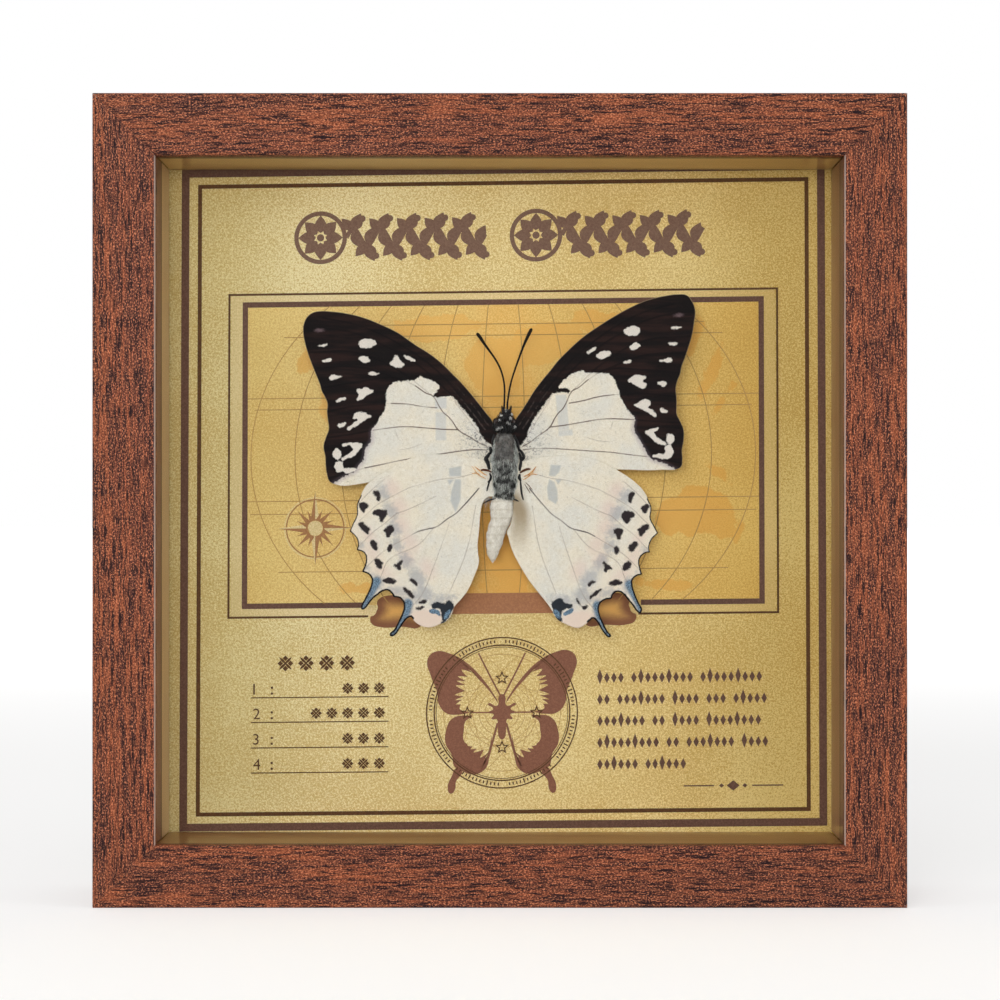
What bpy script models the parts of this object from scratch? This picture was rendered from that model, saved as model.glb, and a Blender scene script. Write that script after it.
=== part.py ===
"""Framed butterfly specimen: a square wooden shadow box that stands on its lower rail.

Metres, +Z up. The front faces -Y, and the origin is the centre of the bottom face.
"""

import math

import bmesh
import bpy

MM = 0.001

# The frame
OUTER = 180.0 * MM
SIGHT = 152.4 * MM
DEPTH = 30.0 * MM
REBATE = 5.0 * MM
LIP = 2.5 * MM
GAP = 0.3 * MM
ARRIS = 0.6 * MM

# What the rebate holds, from front to back
GLASS_THICKNESS = 2.0 * MM
CARD_DEPTH = 22.0 * MM
CARD_THICKNESS = 1.0 * MM
BOARD_THICKNESS = 3.0 * MM
SPACER_SETBACK = 0.3 * MM

# The hardware on the back
POINT_SIZE = (4.5 * MM, 0.5 * MM, 11.0 * MM)
HANGER_LENGTH = 42.0 * MM
HANGER_HEIGHT = 8.0 * MM
HANGER_SHEET = 0.8 * MM
HANGER_DROP = 22.0 * MM
HANGER_TEETH = 9
HANGER_FOOT = 6.0 * MM
HANGER_STAND_OFF = 1.0 * MM
FOOT_FILL = 0.8
NOTCH_DEPTH = 1.3 * MM
NOTCH_FADE = 0.5 * MM
NAIL_RADIUS = 1.5 * MM
NAIL_HEIGHT = 0.6 * MM
NAIL_CROWN = 0.2 * MM

# The butterfly: the middle of its thorax, and how its wings are set
BODY = (1.0 * MM, 1.0 * MM, 99.3 * MM)
WING_THICKNESS = 0.3 * MM
FORE_ROOT = (3.8 * MM, -0.8 * MM, 4.6 * MM)
HIND_ROOT = (3.5 * MM, -1.4 * MM, -2.3 * MM)
FORE_SWING = {"left": 0.0, "right": math.radians(5.3)}
HIND_SWING = {"left": 0.0, "right": math.radians(-1.5)}
PAD_SIZE = (5.0 * MM, 2.0 * MM, 9.0 * MM)
PAD_DROP = 1.0 * MM
PAD_ROUNDING = 0.4 * MM

HALF = OUTER / 2
FACE = (OUTER - SIGHT) / 2
WALL = FACE - REBATE
FRONT_Y = -DEPTH / 2
CENTRE = (0.0, 0.0, HALF)
INSIDE_HALF = HALF - WALL - GAP
CARD_Y = FRONT_Y + CARD_DEPTH
BOARD_BACK_Y = CARD_Y + CARD_THICKNESS + GAP + BOARD_THICKNESS
HARDWARE_Y = BOARD_BACK_Y + GAP
SMOOTH, CORNER = "AUTO", "VECTOR"

# Wing outlines in millimetres: distance out from the root, distance up from it, and the kind
# of point. They run from the root out along the leading edge and back along the inner one.
FOREWING = (
    (0.0, 3.4, SMOOTH),
    (1.8, 8.0, SMOOTH),
    (4.1, 10.9, SMOOTH),
    (9.3, 15.9, SMOOTH),
    (15.5, 20.5, SMOOTH),
    (22.3, 24.8, SMOOTH),
    (29.0, 27.6, SMOOTH),
    (36.0, 29.3, SMOOTH),
    (39.8, 28.9, SMOOTH),
    (41.7, 26.4, SMOOTH),
    (41.3, 21.0, SMOOTH),
    (39.4, 14.8, SMOOTH),
    (37.6, 10.8, SMOOTH),
    (36.4, 6.4, SMOOTH),
    (36.1, 2.4, SMOOTH),
    (37.4, -1.8, SMOOTH),
    (36.7, -7.0, SMOOTH),
    (35.9, -9.6, SMOOTH),
    (34.2, -10.5, SMOOTH),
    (30.5, -10.1, SMOOTH),
    (20.0, -8.9, SMOOTH),
    (8.0, -6.2, SMOOTH),
    (0.6, -3.2, SMOOTH),
)
HINDWING_OUTER = (
    (0.3, 1.2, SMOOTH),
    (4.0, 2.8, SMOOTH),
    (10.5, 3.5, SMOOTH),
    (16.5, 3.0, SMOOTH),
    (22.5, 0.3, SMOOTH),
    (26.6, -2.5, SMOOTH),
    (29.0, -5.4, SMOOTH),
    (30.3, -8.0, SMOOTH),
    (30.1, -10.4, SMOOTH),
    (31.8, -14.0, CORNER),
    (30.2, -15.4, SMOOTH),
    (29.8, -16.9, SMOOTH),
    (30.3, -18.4, CORNER),
    (28.6, -19.1, SMOOTH),
    (28.0, -20.7, SMOOTH),
    (29.0, -23.3, CORNER),
    (27.2, -23.9, SMOOTH),
    (26.7, -25.6, SMOOTH),
    (27.3, -27.9, SMOOTH),
    (29.0, -31.6, CORNER),
    (27.9, -31.3, SMOOTH),
    (26.3, -29.1, SMOOTH),
    (24.4, -27.8, SMOOTH),
    (22.7, -27.8, SMOOTH),
    (21.8, -28.9, CORNER),
    (20.3, -29.4, SMOOTH),
    (19.4, -31.3, SMOOTH),
    (20.4, -34.1, SMOOTH),
    (22.7, -37.9, CORNER),
    (21.4, -37.3, SMOOTH),
    (18.5, -33.9, SMOOTH),
    (16.4, -35.0, SMOOTH),
    (13.5, -35.9, SMOOTH),
    (10.8, -34.9, SMOOTH),
)
# The inner margin is folded down beside the abdomen on the left, and spread on the right.
HINDWING_INNER = {
    "left": (
        (7.5, -30.8, SMOOTH),
        (4.4, -26.4, SMOOTH),
        (2.1, -20.6, SMOOTH),
        (1.9, -16.2, SMOOTH),
        (2.1, -10.0, SMOOTH),
        (1.2, -6.6, SMOOTH),
    ),
    "right": (
        (7.3, -30.8, SMOOTH),
        (3.6, -25.8, SMOOTH),
        (0.5, -20.8, SMOOTH),
        (-1.3, -16.5, SMOOTH),
        (-1.3, -13.0, SMOOTH),
        (-0.3, -9.0, SMOOTH),
        (0.5, -5.0, SMOOTH),
    ),
}

# Sections of the body in millimetres from its middle: sideways, up, and the radius there.
THORAX = (
    (0.0, 6.0, 1.5),
    (0.0, 5.0, 2.6),
    (0.0, 2.4, 3.2),
    (0.0, -0.8, 3.4),
    (0.0, -4.2, 3.1),
    (-0.1, -7.0, 2.5),
    (-0.2, -8.6, 1.8),
)
ABDOMEN = (
    (-0.3, -9.0, 2.1),
    (-0.5, -10.4, 2.7),
    (-1.1, -14.0, 2.4),
    (-1.8, -17.4, 2.05),
    (-2.3, -20.6, 1.6),
    (-2.6, -23.2, 0.4),
)
ANTENNAE = {
    "left": ((-0.2, 12.4, 0.17), (-0.1, 18.0, 0.15), (-2.5, 24.6, 0.17), (-6.1, 29.0, 0.32)),
    "right": ((0.7, 12.4, 0.17), (1.4, 18.0, 0.15), (3.1, 23.8, 0.17), (6.3, 30.1, 0.32)),
}
HEAD_HEIGHT = 8.9 * MM
HEAD_RADIUS = 2.1 * MM
EYE_RADIUS = 1.35 * MM
EYE_SPREAD = 1.45 * MM
PALP_LENGTH = 1.6 * MM
PALP_SPREAD = 0.8 * MM
PALP_BASE_RADIUS = 0.52 * MM
PALP_TIP_RADIUS = 0.14 * MM


def clear_scene():
    for thing in list(bpy.data.objects):
        bpy.data.objects.remove(thing, do_unlink=True)
    for holder in list(bpy.data.collections):
        bpy.data.collections.remove(holder)


def new_collection(name):
    holder = bpy.data.collections.new(name)
    bpy.context.scene.collection.children.link(holder)
    return holder


def make_material(name, colour, roughness, metallic=0.0, transmission=0.0):
    made = bpy.data.materials.new(name)
    made.use_nodes = True
    shader = made.node_tree.nodes["Principled BSDF"]
    shader.inputs["Base Color"].default_value = (*colour, 1.0)
    shader.inputs["Roughness"].default_value = roughness
    shader.inputs["Metallic"].default_value = metallic
    shader.inputs["Transmission Weight"].default_value = transmission
    return made


def add_object(name, data, material, holder, location=CENTRE):
    data.materials.clear()
    data.materials.append(material)
    made = bpy.data.objects.new(name, data)
    made.location = location
    holder.objects.link(made)
    return made


def as_mesh(curve_object, holder):
    """The mesh of a curve object in a new object of the same name.

    Its caps are welded on, and each becomes one face, so that no thin fill triangle is left.
    """
    graph = bpy.context.evaluated_depsgraph_get()
    mesh = bpy.data.meshes.new_from_object(curve_object.evaluated_get(graph))
    shape = bmesh.new()
    shape.from_mesh(mesh)
    bmesh.ops.remove_doubles(shape, verts=shape.verts, dist=1e-6)
    bmesh.ops.dissolve_limit(
        shape, angle_limit=math.radians(0.5), verts=shape.verts, edges=shape.edges
    )
    bmesh.ops.recalc_face_normals(shape, faces=shape.faces)
    shape.to_mesh(mesh)
    shape.free()
    name = curve_object.name
    matrix = curve_object.matrix_world.copy()
    bpy.data.objects.remove(curve_object, do_unlink=True)
    made = bpy.data.objects.new(name, mesh)
    made.matrix_world = matrix
    holder.objects.link(made)
    return made


def flat_curve(name, points, half_thickness, rounded=True):
    """A filled 2D curve through (x, y, kind) points in metres, extruded to both sides."""
    curve = bpy.data.curves.new(name, "CURVE")
    curve.dimensions = "2D"
    curve.fill_mode = "BOTH"
    curve.extrude = half_thickness
    curve.resolution_u = 4 if rounded else 1
    spline = curve.splines.new("BEZIER")
    spline.bezier_points.add(len(points) - 1)
    for knot, (x, y, kind) in zip(spline.bezier_points, points):
        knot.co = (x, y, 0.0)
        knot.handle_left_type = kind
        knot.handle_right_type = kind
    spline.use_cyclic_u = True
    return curve


def mitred_strips(names, profile, material, holder):
    """Four equal strips round the frame, cut at 45 degrees.

    The profile's points are (inset from the outer edge, depth from the front face). It is
    extruded along X, and each end is then sheared to the mitre line.
    """
    points = [(inset, depth, CORNER) for inset, depth in profile]
    curve = flat_curve("strip", points, HALF, rounded=False)
    # The curve's X becomes height above the lower edge, its Y depth, and its Z runs along -X.
    base = bpy.data.objects.new("strip", curve)
    holder.objects.link(base)
    bpy.context.view_layer.update()
    strip = as_mesh(base, holder)
    shape = bmesh.new()
    shape.from_mesh(strip.data)
    for corner in shape.verts:
        inset, depth, along = corner.co
        reach = HALF - inset - GAP / 2
        corner.co = (-math.copysign(reach, along), FRONT_Y + depth, inset - HALF)
    bmesh.ops.recalc_face_normals(shape, faces=shape.faces)
    shape.to_mesh(strip.data)
    shape.free()
    for quarter, name in enumerate(names):
        piece = add_object(name, strip.data.copy(), material, holder)
        piece.rotation_euler.y = quarter * math.pi / 2
    bpy.data.objects.remove(strip, do_unlink=True)


def rail_profile():
    """An L with its two front arrises eased by quarter rounds."""
    steps = [step * math.pi / 6 for step in range(4)]
    outer = [(ARRIS - ARRIS * math.cos(t), ARRIS - ARRIS * math.sin(t)) for t in steps]
    inner = [(FACE - ARRIS + ARRIS * math.sin(t), ARRIS - ARRIS * math.cos(t)) for t in steps]
    return outer + inner + [(FACE, LIP), (WALL, LIP), (WALL, DEPTH), (0.0, DEPTH)]


def spacer_profile():
    """A plain strip between glass and card, set back a little behind the rail's face."""
    inner = FACE - SPACER_SETBACK
    start = LIP + GAP + GLASS_THICKNESS + GAP
    end = CARD_DEPTH - GAP
    outer = WALL + GAP
    return [(outer, start), (inner, start), (inner, end), (outer, end)]


def box(name, size, centre, material, holder, bevel=0.0):
    """A box of the given size, with all its edges beveled where a width is given."""
    mesh = bpy.data.meshes.new(name)
    shape = bmesh.new()
    bmesh.ops.create_cube(shape, size=1.0)
    bmesh.ops.scale(shape, vec=size, verts=shape.verts)
    shape.to_mesh(mesh)
    shape.free()
    made = add_object(name, mesh, material, holder, centre)
    if bevel:
        rounding = made.modifiers.new("Bevel", "BEVEL")
        rounding.width = bevel
        rounding.segments = 2
    return made


def pane(name, thickness, front_y, material, holder):
    side = 2 * INSIDE_HALF
    centre = (0.0, front_y + thickness / 2, HALF)
    return box(name, (side, thickness, side), centre, material, holder)


def glazing_points(material, holder):
    """Four flat steel points on the board, one at the middle of each rebate wall."""
    width, sheet, length = POINT_SIZE
    for quarter, side in enumerate(("bottom", "left", "top", "right")):
        angle = quarter * math.pi / 2
        inward = INSIDE_HALF - length / 2
        x = -math.sin(angle) * inward
        z = HALF - math.cos(angle) * inward
        centre = (x, HARDWARE_Y + sheet / 2, z)
        point = box(f"retaining_point_{side}", POINT_SIZE, centre, material, holder)
        point.rotation_euler.y = angle


def hanger(steel, nail_steel, holder, helpers):
    """A sawtooth strip that stands off the board on two folded feet, and its two nails.

    The notches grow deeper towards the middle, where the wall nail comes to rest.
    """
    half = HANGER_LENGTH / 2
    top = HANGER_HEIGHT / 2
    first = HANGER_FOOT - half
    tooth = (HANGER_LENGTH - 2 * HANGER_FOOT) / HANGER_TEETH
    outline = [(half, top, CORNER), (-half, top, CORNER), (-half, -top, CORNER)]
    outline.append((first, -top, CORNER))
    for number in range(HANGER_TEETH):
        left = first + number * tooth
        from_middle = (number + 0.5) / (HANGER_TEETH / 2) - 1
        notch = NOTCH_DEPTH - NOTCH_FADE * from_middle**2
        outline.append((left + tooth / 2, notch - top, CORNER))
        outline.append((left + tooth, -top, CORNER))
    outline.append((half, -top, CORNER))
    curve = flat_curve("sawtooth_hanger", outline, HANGER_SHEET / 2, rounded=False)
    centre_z = OUTER - FACE - HANGER_DROP
    plate_y = HARDWARE_Y + HANGER_STAND_OFF + HANGER_SHEET / 2
    plate = add_object("sawtooth_hanger", curve, steel, holder, (0.0, plate_y, centre_z))
    plate.rotation_euler.x = math.pi / 2
    bpy.context.view_layer.update()
    plate = as_mesh(plate, holder)
    bpy.context.view_layer.update()
    for side, sign in (("left", -1), ("right", 1)):
        x = sign * (half - HANGER_FOOT / 2)
        height = HANGER_STAND_OFF + HANGER_SHEET / 2
        centre = (x, HARDWARE_Y + height / 2, centre_z)
        size = (FOOT_FILL * HANGER_FOOT, height, FOOT_FILL * HANGER_HEIGHT)
        leg = box(f"hanger_foot_{side}", size, centre, steel, helpers)
        leg.hide_render = True
        leg.display_type = "WIRE"
        union = plate.modifiers.new(f"Foot {side}", "BOOLEAN")
        union.operation = "UNION"
        union.object = leg
        head_y = HARDWARE_Y + HANGER_STAND_OFF + HANGER_SHEET + GAP + NAIL_HEIGHT / 2
        bpy.ops.mesh.primitive_cylinder_add(
            vertices=20,
            radius=NAIL_RADIUS,
            depth=NAIL_HEIGHT,
            location=(x, head_y, centre_z),
            rotation=(math.pi / 2, 0.0, 0.0),
        )
        nail = bpy.context.object
        nail.name = f"hanger_nail_{side}"
        nail.data.materials.append(nail_steel)
        move_to(nail, holder)
        crown = nail.modifiers.new("Bevel", "BEVEL")
        crown.width = NAIL_CROWN
        crown.segments = 2
        crown.limit_method = "ANGLE"


def move_to(thing, holder):
    for old in list(thing.users_collection):
        old.objects.unlink(thing)
    holder.objects.link(thing)


def at_body(sideways, up, forward=0.0):
    return (BODY[0] + sideways, BODY[1] + forward, BODY[2] + up)


def tube(name, sections, material, holder, sides_level, steps):
    """A round body along a smooth path, with a radius at each (sideways, up, radius) section."""
    curve = bpy.data.curves.new(name, "CURVE")
    curve.dimensions = "3D"
    curve.resolution_u = steps
    curve.bevel_depth = 1.0 * MM
    curve.bevel_resolution = sides_level
    curve.use_fill_caps = True
    spline = curve.splines.new("BEZIER")
    spline.bezier_points.add(len(sections) - 1)
    for knot, (sideways, up, radius) in zip(spline.bezier_points, sections):
        knot.co = (sideways * MM, 0.0, up * MM)
        knot.radius = radius
        knot.handle_left_type = SMOOTH
        knot.handle_right_type = SMOOTH
    return add_object(name, curve, material, holder, BODY)


def sphere(name, radius, centre, material, holder):
    bpy.ops.mesh.primitive_uv_sphere_add(
        segments=20, ring_count=12, radius=radius, location=centre
    )
    ball = bpy.context.object
    ball.name = name
    ball.data.name = name
    ball.data.materials.append(material)
    ball.data.shade_smooth()
    move_to(ball, holder)
    return ball


def head(material, holder, helpers):
    """A round head with an eye at each side and two short palps that point upwards."""
    skull = sphere("head", HEAD_RADIUS, at_body(0.0, HEAD_HEIGHT), material, holder)
    for side, sign in (("left", -1), ("right", 1)):
        eye_centre = at_body(sign * EYE_SPREAD, HEAD_HEIGHT)
        eye = sphere(f"eye_shape_{side}", EYE_RADIUS, eye_centre, material, helpers)
        palp_height = HEAD_HEIGHT + HEAD_RADIUS + PALP_LENGTH / 4
        bpy.ops.mesh.primitive_cone_add(
            vertices=12,
            radius1=PALP_BASE_RADIUS,
            radius2=PALP_TIP_RADIUS,
            depth=PALP_LENGTH,
            location=at_body(sign * PALP_SPREAD, palp_height),
        )
        palp = bpy.context.object
        palp.name = f"palp_shape_{side}"
        move_to(palp, helpers)
        for shape in (eye, palp):
            shape.hide_render = True
            shape.display_type = "WIRE"
            union = skull.modifiers.new(shape.name, "BOOLEAN")
            union.operation = "UNION"
            union.object = shape


def wing(name, outline, root, side, swing, material, holder):
    """A flat wing in the X-Z plane, swung about its root so that a positive angle lifts it."""
    sign = -1 if side == "left" else 1
    points = [(sign * out * MM, up * MM, kind) for out, up, kind in outline]
    curve = flat_curve(name, points, WING_THICKNESS / 2)
    location = at_body(sign * root[0], root[2], root[1])
    piece = add_object(name, curve, material, holder, location)
    piece.rotation_euler = (math.pi / 2, -sign * swing, 0.0)


def build_frame(parts, helpers):
    wood = make_material("walnut_foil_wood", (0.20, 0.07, 0.035), 0.55)
    clear = make_material("clear_glass", (1.0, 1.0, 1.0), 0.0, transmission=1.0)
    bronze = make_material("bronze_plastic", (0.32, 0.22, 0.10), 0.35, metallic=0.6)
    gold = make_material("gold_card", (0.62, 0.47, 0.20), 0.4, metallic=0.7)
    board = make_material("brown_board", (0.30, 0.19, 0.10), 0.85)
    sides = ("bottom", "left", "top", "right")
    mitred_strips([f"rail_{side}" for side in sides], rail_profile(), wood, parts)
    mitred_strips([f"spacer_{side}" for side in sides], spacer_profile(), bronze, parts)
    glass_y = FRONT_Y + LIP + GAP
    pane("glass_pane", GLASS_THICKNESS, glass_y, clear, parts)
    pane("printed_card", CARD_THICKNESS, CARD_Y, gold, parts)
    board_y = CARD_Y + CARD_THICKNESS + GAP
    pane("backing_board", BOARD_THICKNESS, board_y, board, parts)
    steel = make_material("zinc_steel", (0.55, 0.55, 0.56), 0.35, metallic=1.0)
    brass = make_material("brassed_steel", (0.70, 0.52, 0.25), 0.35, metallic=1.0)
    glazing_points(steel, parts)
    hanger(steel, brass, parts, helpers)


def build_butterfly(parts, helpers):
    cream = make_material("cream_wing", (0.74, 0.69, 0.60), 0.8)
    fur = make_material("grey_fur", (0.10, 0.10, 0.10), 0.9)
    pale_fur = make_material("pale_fur", (0.70, 0.70, 0.66), 0.9)
    black = make_material("black_shell", (0.02, 0.02, 0.02), 0.4)
    foam = make_material("white_foam", (0.80, 0.80, 0.78), 0.9)
    tube("thorax", THORAX, fur, parts, sides_level=4, steps=3)
    tube("abdomen", ABDOMEN, pale_fur, parts, sides_level=4, steps=3)
    head(black, parts, helpers)
    for side in ("left", "right"):
        tube(f"antenna_{side}", ANTENNAE[side], black, parts, sides_level=2, steps=5)
        wing(f"forewing_{side}", FOREWING, FORE_ROOT, side, FORE_SWING[side], cream, parts)
        hind = HINDWING_OUTER + HINDWING_INNER[side]
        wing(f"hindwing_{side}", hind, HIND_ROOT, side, HIND_SWING[side], cream, parts)
    pad_y = (CARD_Y - GAP - PAD_SIZE[1] / 2) - BODY[1]
    pad_centre = at_body(0.0, -PAD_DROP, pad_y)
    box("foam_pad", PAD_SIZE, pad_centre, foam, parts, bevel=PAD_ROUNDING)


def main():
    clear_scene()
    parts = new_collection("framed_butterfly_specimen")
    helpers = new_collection("cutters")
    helpers.hide_render = True
    build_frame(parts, helpers)
    build_butterfly(parts, helpers)


main()
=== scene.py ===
# %% [markdown]
# # A framed butterfly specimen
#
# This lesson dresses a packed construction model: a square wooden box with a glass front, a gold
# printed card, and one spread butterfly that floats a few millimetres in front of the card. The
# construction is loaded as a fixed frame. Every new piece is a surface worked out with numpy. The
# rails and the print are placed by the boxes of the fixed nodes and the butterfly by a given body
# position, so nothing has to be fitted by hand afterwards.

# %% Load the fixed frame
import math

import bpy
import numpy as np
from mathutils.geometry import delaunay_2d_cdt
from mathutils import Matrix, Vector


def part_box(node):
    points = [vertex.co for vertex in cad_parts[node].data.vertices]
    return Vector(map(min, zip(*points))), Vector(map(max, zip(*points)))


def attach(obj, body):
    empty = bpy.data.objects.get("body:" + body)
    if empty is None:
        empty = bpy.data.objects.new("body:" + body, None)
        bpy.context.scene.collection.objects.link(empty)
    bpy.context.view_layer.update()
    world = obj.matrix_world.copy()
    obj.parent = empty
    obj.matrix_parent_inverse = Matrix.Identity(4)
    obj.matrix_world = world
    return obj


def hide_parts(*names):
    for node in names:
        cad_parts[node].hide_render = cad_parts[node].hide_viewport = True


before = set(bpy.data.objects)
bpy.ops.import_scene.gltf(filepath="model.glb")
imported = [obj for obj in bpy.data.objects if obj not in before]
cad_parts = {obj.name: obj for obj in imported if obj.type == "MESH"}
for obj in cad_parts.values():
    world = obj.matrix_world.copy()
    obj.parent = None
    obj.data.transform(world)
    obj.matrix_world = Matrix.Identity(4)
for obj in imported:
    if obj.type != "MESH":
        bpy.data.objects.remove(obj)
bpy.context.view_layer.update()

# %% [markdown]
# ## Planes and driving sizes
#
# The frame is flat work: what matters is the depth of each layer behind the front edge. Reading
# those depths from the fixed nodes keeps every ink line at the right distance even if the
# construction changes; the wings are placed from a given body position. Lengths on the print and
# on the wings are written in millimetres, because that is how a printer or an entomologist would
# give them.

# %% Planes read from the fixed nodes
MM = 0.001
scene = bpy.context.scene

rail_low, rail_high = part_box("rail_bottom")
OUTER = rail_high.x - rail_low.x
HALF = OUTER / 2
FRONT_Y = rail_low.y
DEPTH = rail_high.y - rail_low.y
CARD_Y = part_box("printed_card")[0].y
LIP = 2.5 * MM
FACE = 13.8 * MM
WALL = 8.8 * MM
print("front plane", round(FRONT_Y, 4), "card plane", round(CARD_Y, 4), "side", round(OUTER, 4))


def linear_light(colour):
    """(red, green, blue) as it looks on a screen, 0 to 255, as the linear light that shaders use."""
    shown = np.array(colour, float) / 255
    linear = np.where(shown <= 0.04045, shown / 12.92, ((shown + 0.055) / 1.055) ** 2.4)
    return (*linear.tolist(), 1.0)


# %% [markdown]
# ## Camera
#
# The lens stands 430 mm in front of the box, a little below its centre. A level camera keeps the
# box's sides upright in the picture, so instead of tilting it up the picture is moved a little with
# the lens shift, as an architecture photographer does.

# %% Camera
CAMERA_BACK = 430 * MM
CAMERA_SIDE = 2.0 * MM
CAMERA_HEIGHT = 85.0 * MM
camera_data = bpy.data.cameras.new("studio_camera")
camera_data.sensor_width = 36.0
camera_data.lens = 70.28
camera_data.shift_x = -0.0089
camera_data.shift_y = 0.02245
camera_data.clip_start = 0.01
camera = bpy.data.objects.new("studio_camera", camera_data)
camera.location = (CAMERA_SIDE, FRONT_Y - CAMERA_BACK, CAMERA_HEIGHT)
camera.rotation_euler = (math.pi / 2, 0.0, 0.0)
scene.collection.objects.link(camera)
scene.camera = camera

# %% [markdown]
# ## Mesh helpers
#
# Almost everything here is either a grid (rows of points joined by quads) or a flat outline filled
# with triangles. Whole arrays go into the mesh at once with `foreach_set`, which is far quicker than
# adding vertices one by one, and per-point numbers such as "distance to the nearest vein" are stored
# as attributes so that the materials can read them.


# %% Arrays into meshes
def make_mesh(name, points, faces, fields=None):
    """A mesh from (n, 3) points in metres, (m, 3 or 4) faces and named numbers per point."""
    sides = faces.shape[1]
    mesh = bpy.data.meshes.new(name)
    mesh.vertices.add(len(points))
    mesh.vertices.foreach_set("co", points.astype(np.float32).ravel())
    mesh.loops.add(faces.size)
    mesh.loops.foreach_set("vertex_index", faces.astype(np.int32).ravel())
    mesh.polygons.add(len(faces))
    mesh.polygons.foreach_set("loop_start", np.arange(0, faces.size, sides, dtype=np.int32))
    mesh.polygons.foreach_set("use_smooth", np.ones(len(faces), bool))
    mesh.update(calc_edges=True)
    for key, values in (fields or {}).items():
        layer = mesh.attributes.new(key, "FLOAT", "POINT")
        layer.data.foreach_set("value", np.broadcast_to(values, len(points)).astype(np.float32))
    return mesh


def settle(name, mesh, material, slot, *stands_for):
    """Links a finished mesh, fixes it to the frame's one body and hides the fixed nodes it replaces."""
    piece = bpy.data.objects.new(name, mesh)
    mesh.materials.append(material)
    scene.collection.objects.link(piece)
    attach(piece, "root")
    if stands_for:
        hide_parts(*stands_for)
    return piece


def solid(name, shape, material, slot, *stands_for):
    """Settles a (points, faces) shape that is given in millimetres."""
    points, faces = shape
    settle(name, make_mesh(name, points * MM, faces), material, slot, *stands_for)
    return len(faces)


def thicken(piece, title, thickness):
    """Gives a sheet a back, so many millimetres behind its face."""
    body = piece.modifiers.new(title, "SOLIDIFY")
    body.thickness = thickness * MM
    body.offset = -1.0


def grid_faces(rows, columns, wrap=False):
    """Quads of a rows by columns grid of points; wrap joins the last column to the first."""
    across = columns if wrap else columns - 1
    row, column = np.meshgrid(np.arange(rows - 1), np.arange(across), indexing="ij")
    right = (column + 1) % columns
    corners = (row * columns + column, row * columns + right)
    above = ((row + 1) * columns + right, (row + 1) * columns + column)
    return np.stack(corners + above, axis=-1).reshape(-1, 4)


def as_triangles(quads):
    """Each quad cut in two along a diagonal."""
    return np.concatenate([quads[:, [0, 1, 2]], quads[:, [0, 2, 3]]])


def joined(shapes):
    """Several (points, faces) shapes as one, with each one's faces shifted past the earlier points."""
    counts = np.cumsum([0] + [len(points) for points, _ in shapes])
    points = np.concatenate([points for points, _ in shapes])
    faces = np.concatenate([faces + start for (_, faces), start in zip(shapes, counts)])
    return points, faces


# %% [markdown]
# ## Curves and distances
#
# An outline is drawn with few points and a smooth curve through them; where a point is a corner, as
# at the tip of a tail, the curve may kink. Blender's own Bezier curve does that well, so a temporary
# curve is evaluated and its points are read back. Distances from many points to such an outline are
# the key to the markings: a spot or a border is simply where a distance is below some value.


# %% Outlines and distances
def smooth_path(points, corners=(), closed=True, steps=10):
    """Points along a Bezier curve through the given ones, with straight handles at the corners."""
    curve = bpy.data.curves.new("outline", "CURVE")
    curve.resolution_u = steps
    spline = curve.splines.new("BEZIER")
    spline.bezier_points.add(len(points) - 1)
    for number, (knot, point) in enumerate(zip(spline.bezier_points, points)):
        kind = "VECTOR" if number in corners else "AUTO"
        knot.co = (point[0], point[1], 0.0)
        knot.handle_left_type = kind
        knot.handle_right_type = kind
    spline.use_cyclic_u = closed
    holder = bpy.data.objects.new("outline", curve)
    mesh = bpy.data.meshes.new_from_object(holder)
    flat = np.empty(len(mesh.vertices) * 3, np.float32)
    mesh.vertices.foreach_get("co", flat)
    bpy.data.objects.remove(holder)
    bpy.data.curves.remove(curve)
    bpy.data.meshes.remove(mesh)
    return flat.reshape(-1, 3)[:, :2].astype(float)


def walked_along(path):
    """The length of a path up to each of its points."""
    return np.concatenate([[0.0], np.cumsum(np.hypot(*np.diff(path, axis=0).T))])


def points_at(path, places):
    """The points at given lengths along a path."""
    walked = walked_along(path)
    return np.column_stack([np.interp(places, walked, path[:, axis]) for axis in (0, 1)])


def even_steps(path, spacing):
    """A closed path again, with points about one spacing apart, measured along it."""
    ring = np.vstack([path, path[:1]])
    length = walked_along(ring)[-1]
    count = max(int(round(length / spacing)), 3)
    return points_at(ring, np.linspace(0.0, length, count, endpoint=False))


def distance_to(points, path, closed=False):
    """How far each point is from a path: the least distance to any of its straight pieces."""
    ring = np.vstack([path, path[:1]]) if closed else np.asarray(path, float)
    nearest = np.full(len(points), np.inf)
    for start, end in zip(ring[:-1], ring[1:]):
        along = end - start
        share = ((points - start) @ along / max(along @ along, 1e-12)).clip(0.0, 1.0)
        nearest = np.minimum(nearest, np.hypot(*(points - start - share[:, None] * along).T))
    return nearest


def inside(points, outline):
    """True where a ray to the right of the point crosses the outline an odd number of times."""
    crossings = np.zeros(len(points), bool)
    x, y = points.T
    for (x0, y0), (x1, y1) in zip(outline, np.roll(outline, -1, axis=0)):
        spans = (y0 > y) != (y1 > y)
        rise = (y1 - y0) if y1 != y0 else 1.0
        crossings ^= spans & (x < (x1 - x0) * (y - y0) / rise + x0)
    return crossings


def signed_distance(points, outline):
    """Distance to an outline, below zero inside it."""
    return distance_to(points, outline, True) * np.where(inside(points, outline), -1.0, 1.0)


def knots(text):
    """Pairs of numbers written one after another, as an (n, 2) array."""
    return np.array(text.split(), float).reshape(-1, 2)


def outlines(text):
    """Several such arrays, parted by slashes."""
    return [knots(part) for part in text.split("/")]


def number_rows(text):
    """Rows of numbers of one length, parted by slashes, as one array."""
    return np.array([part.split() for part in text.split("/")], float)


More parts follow.
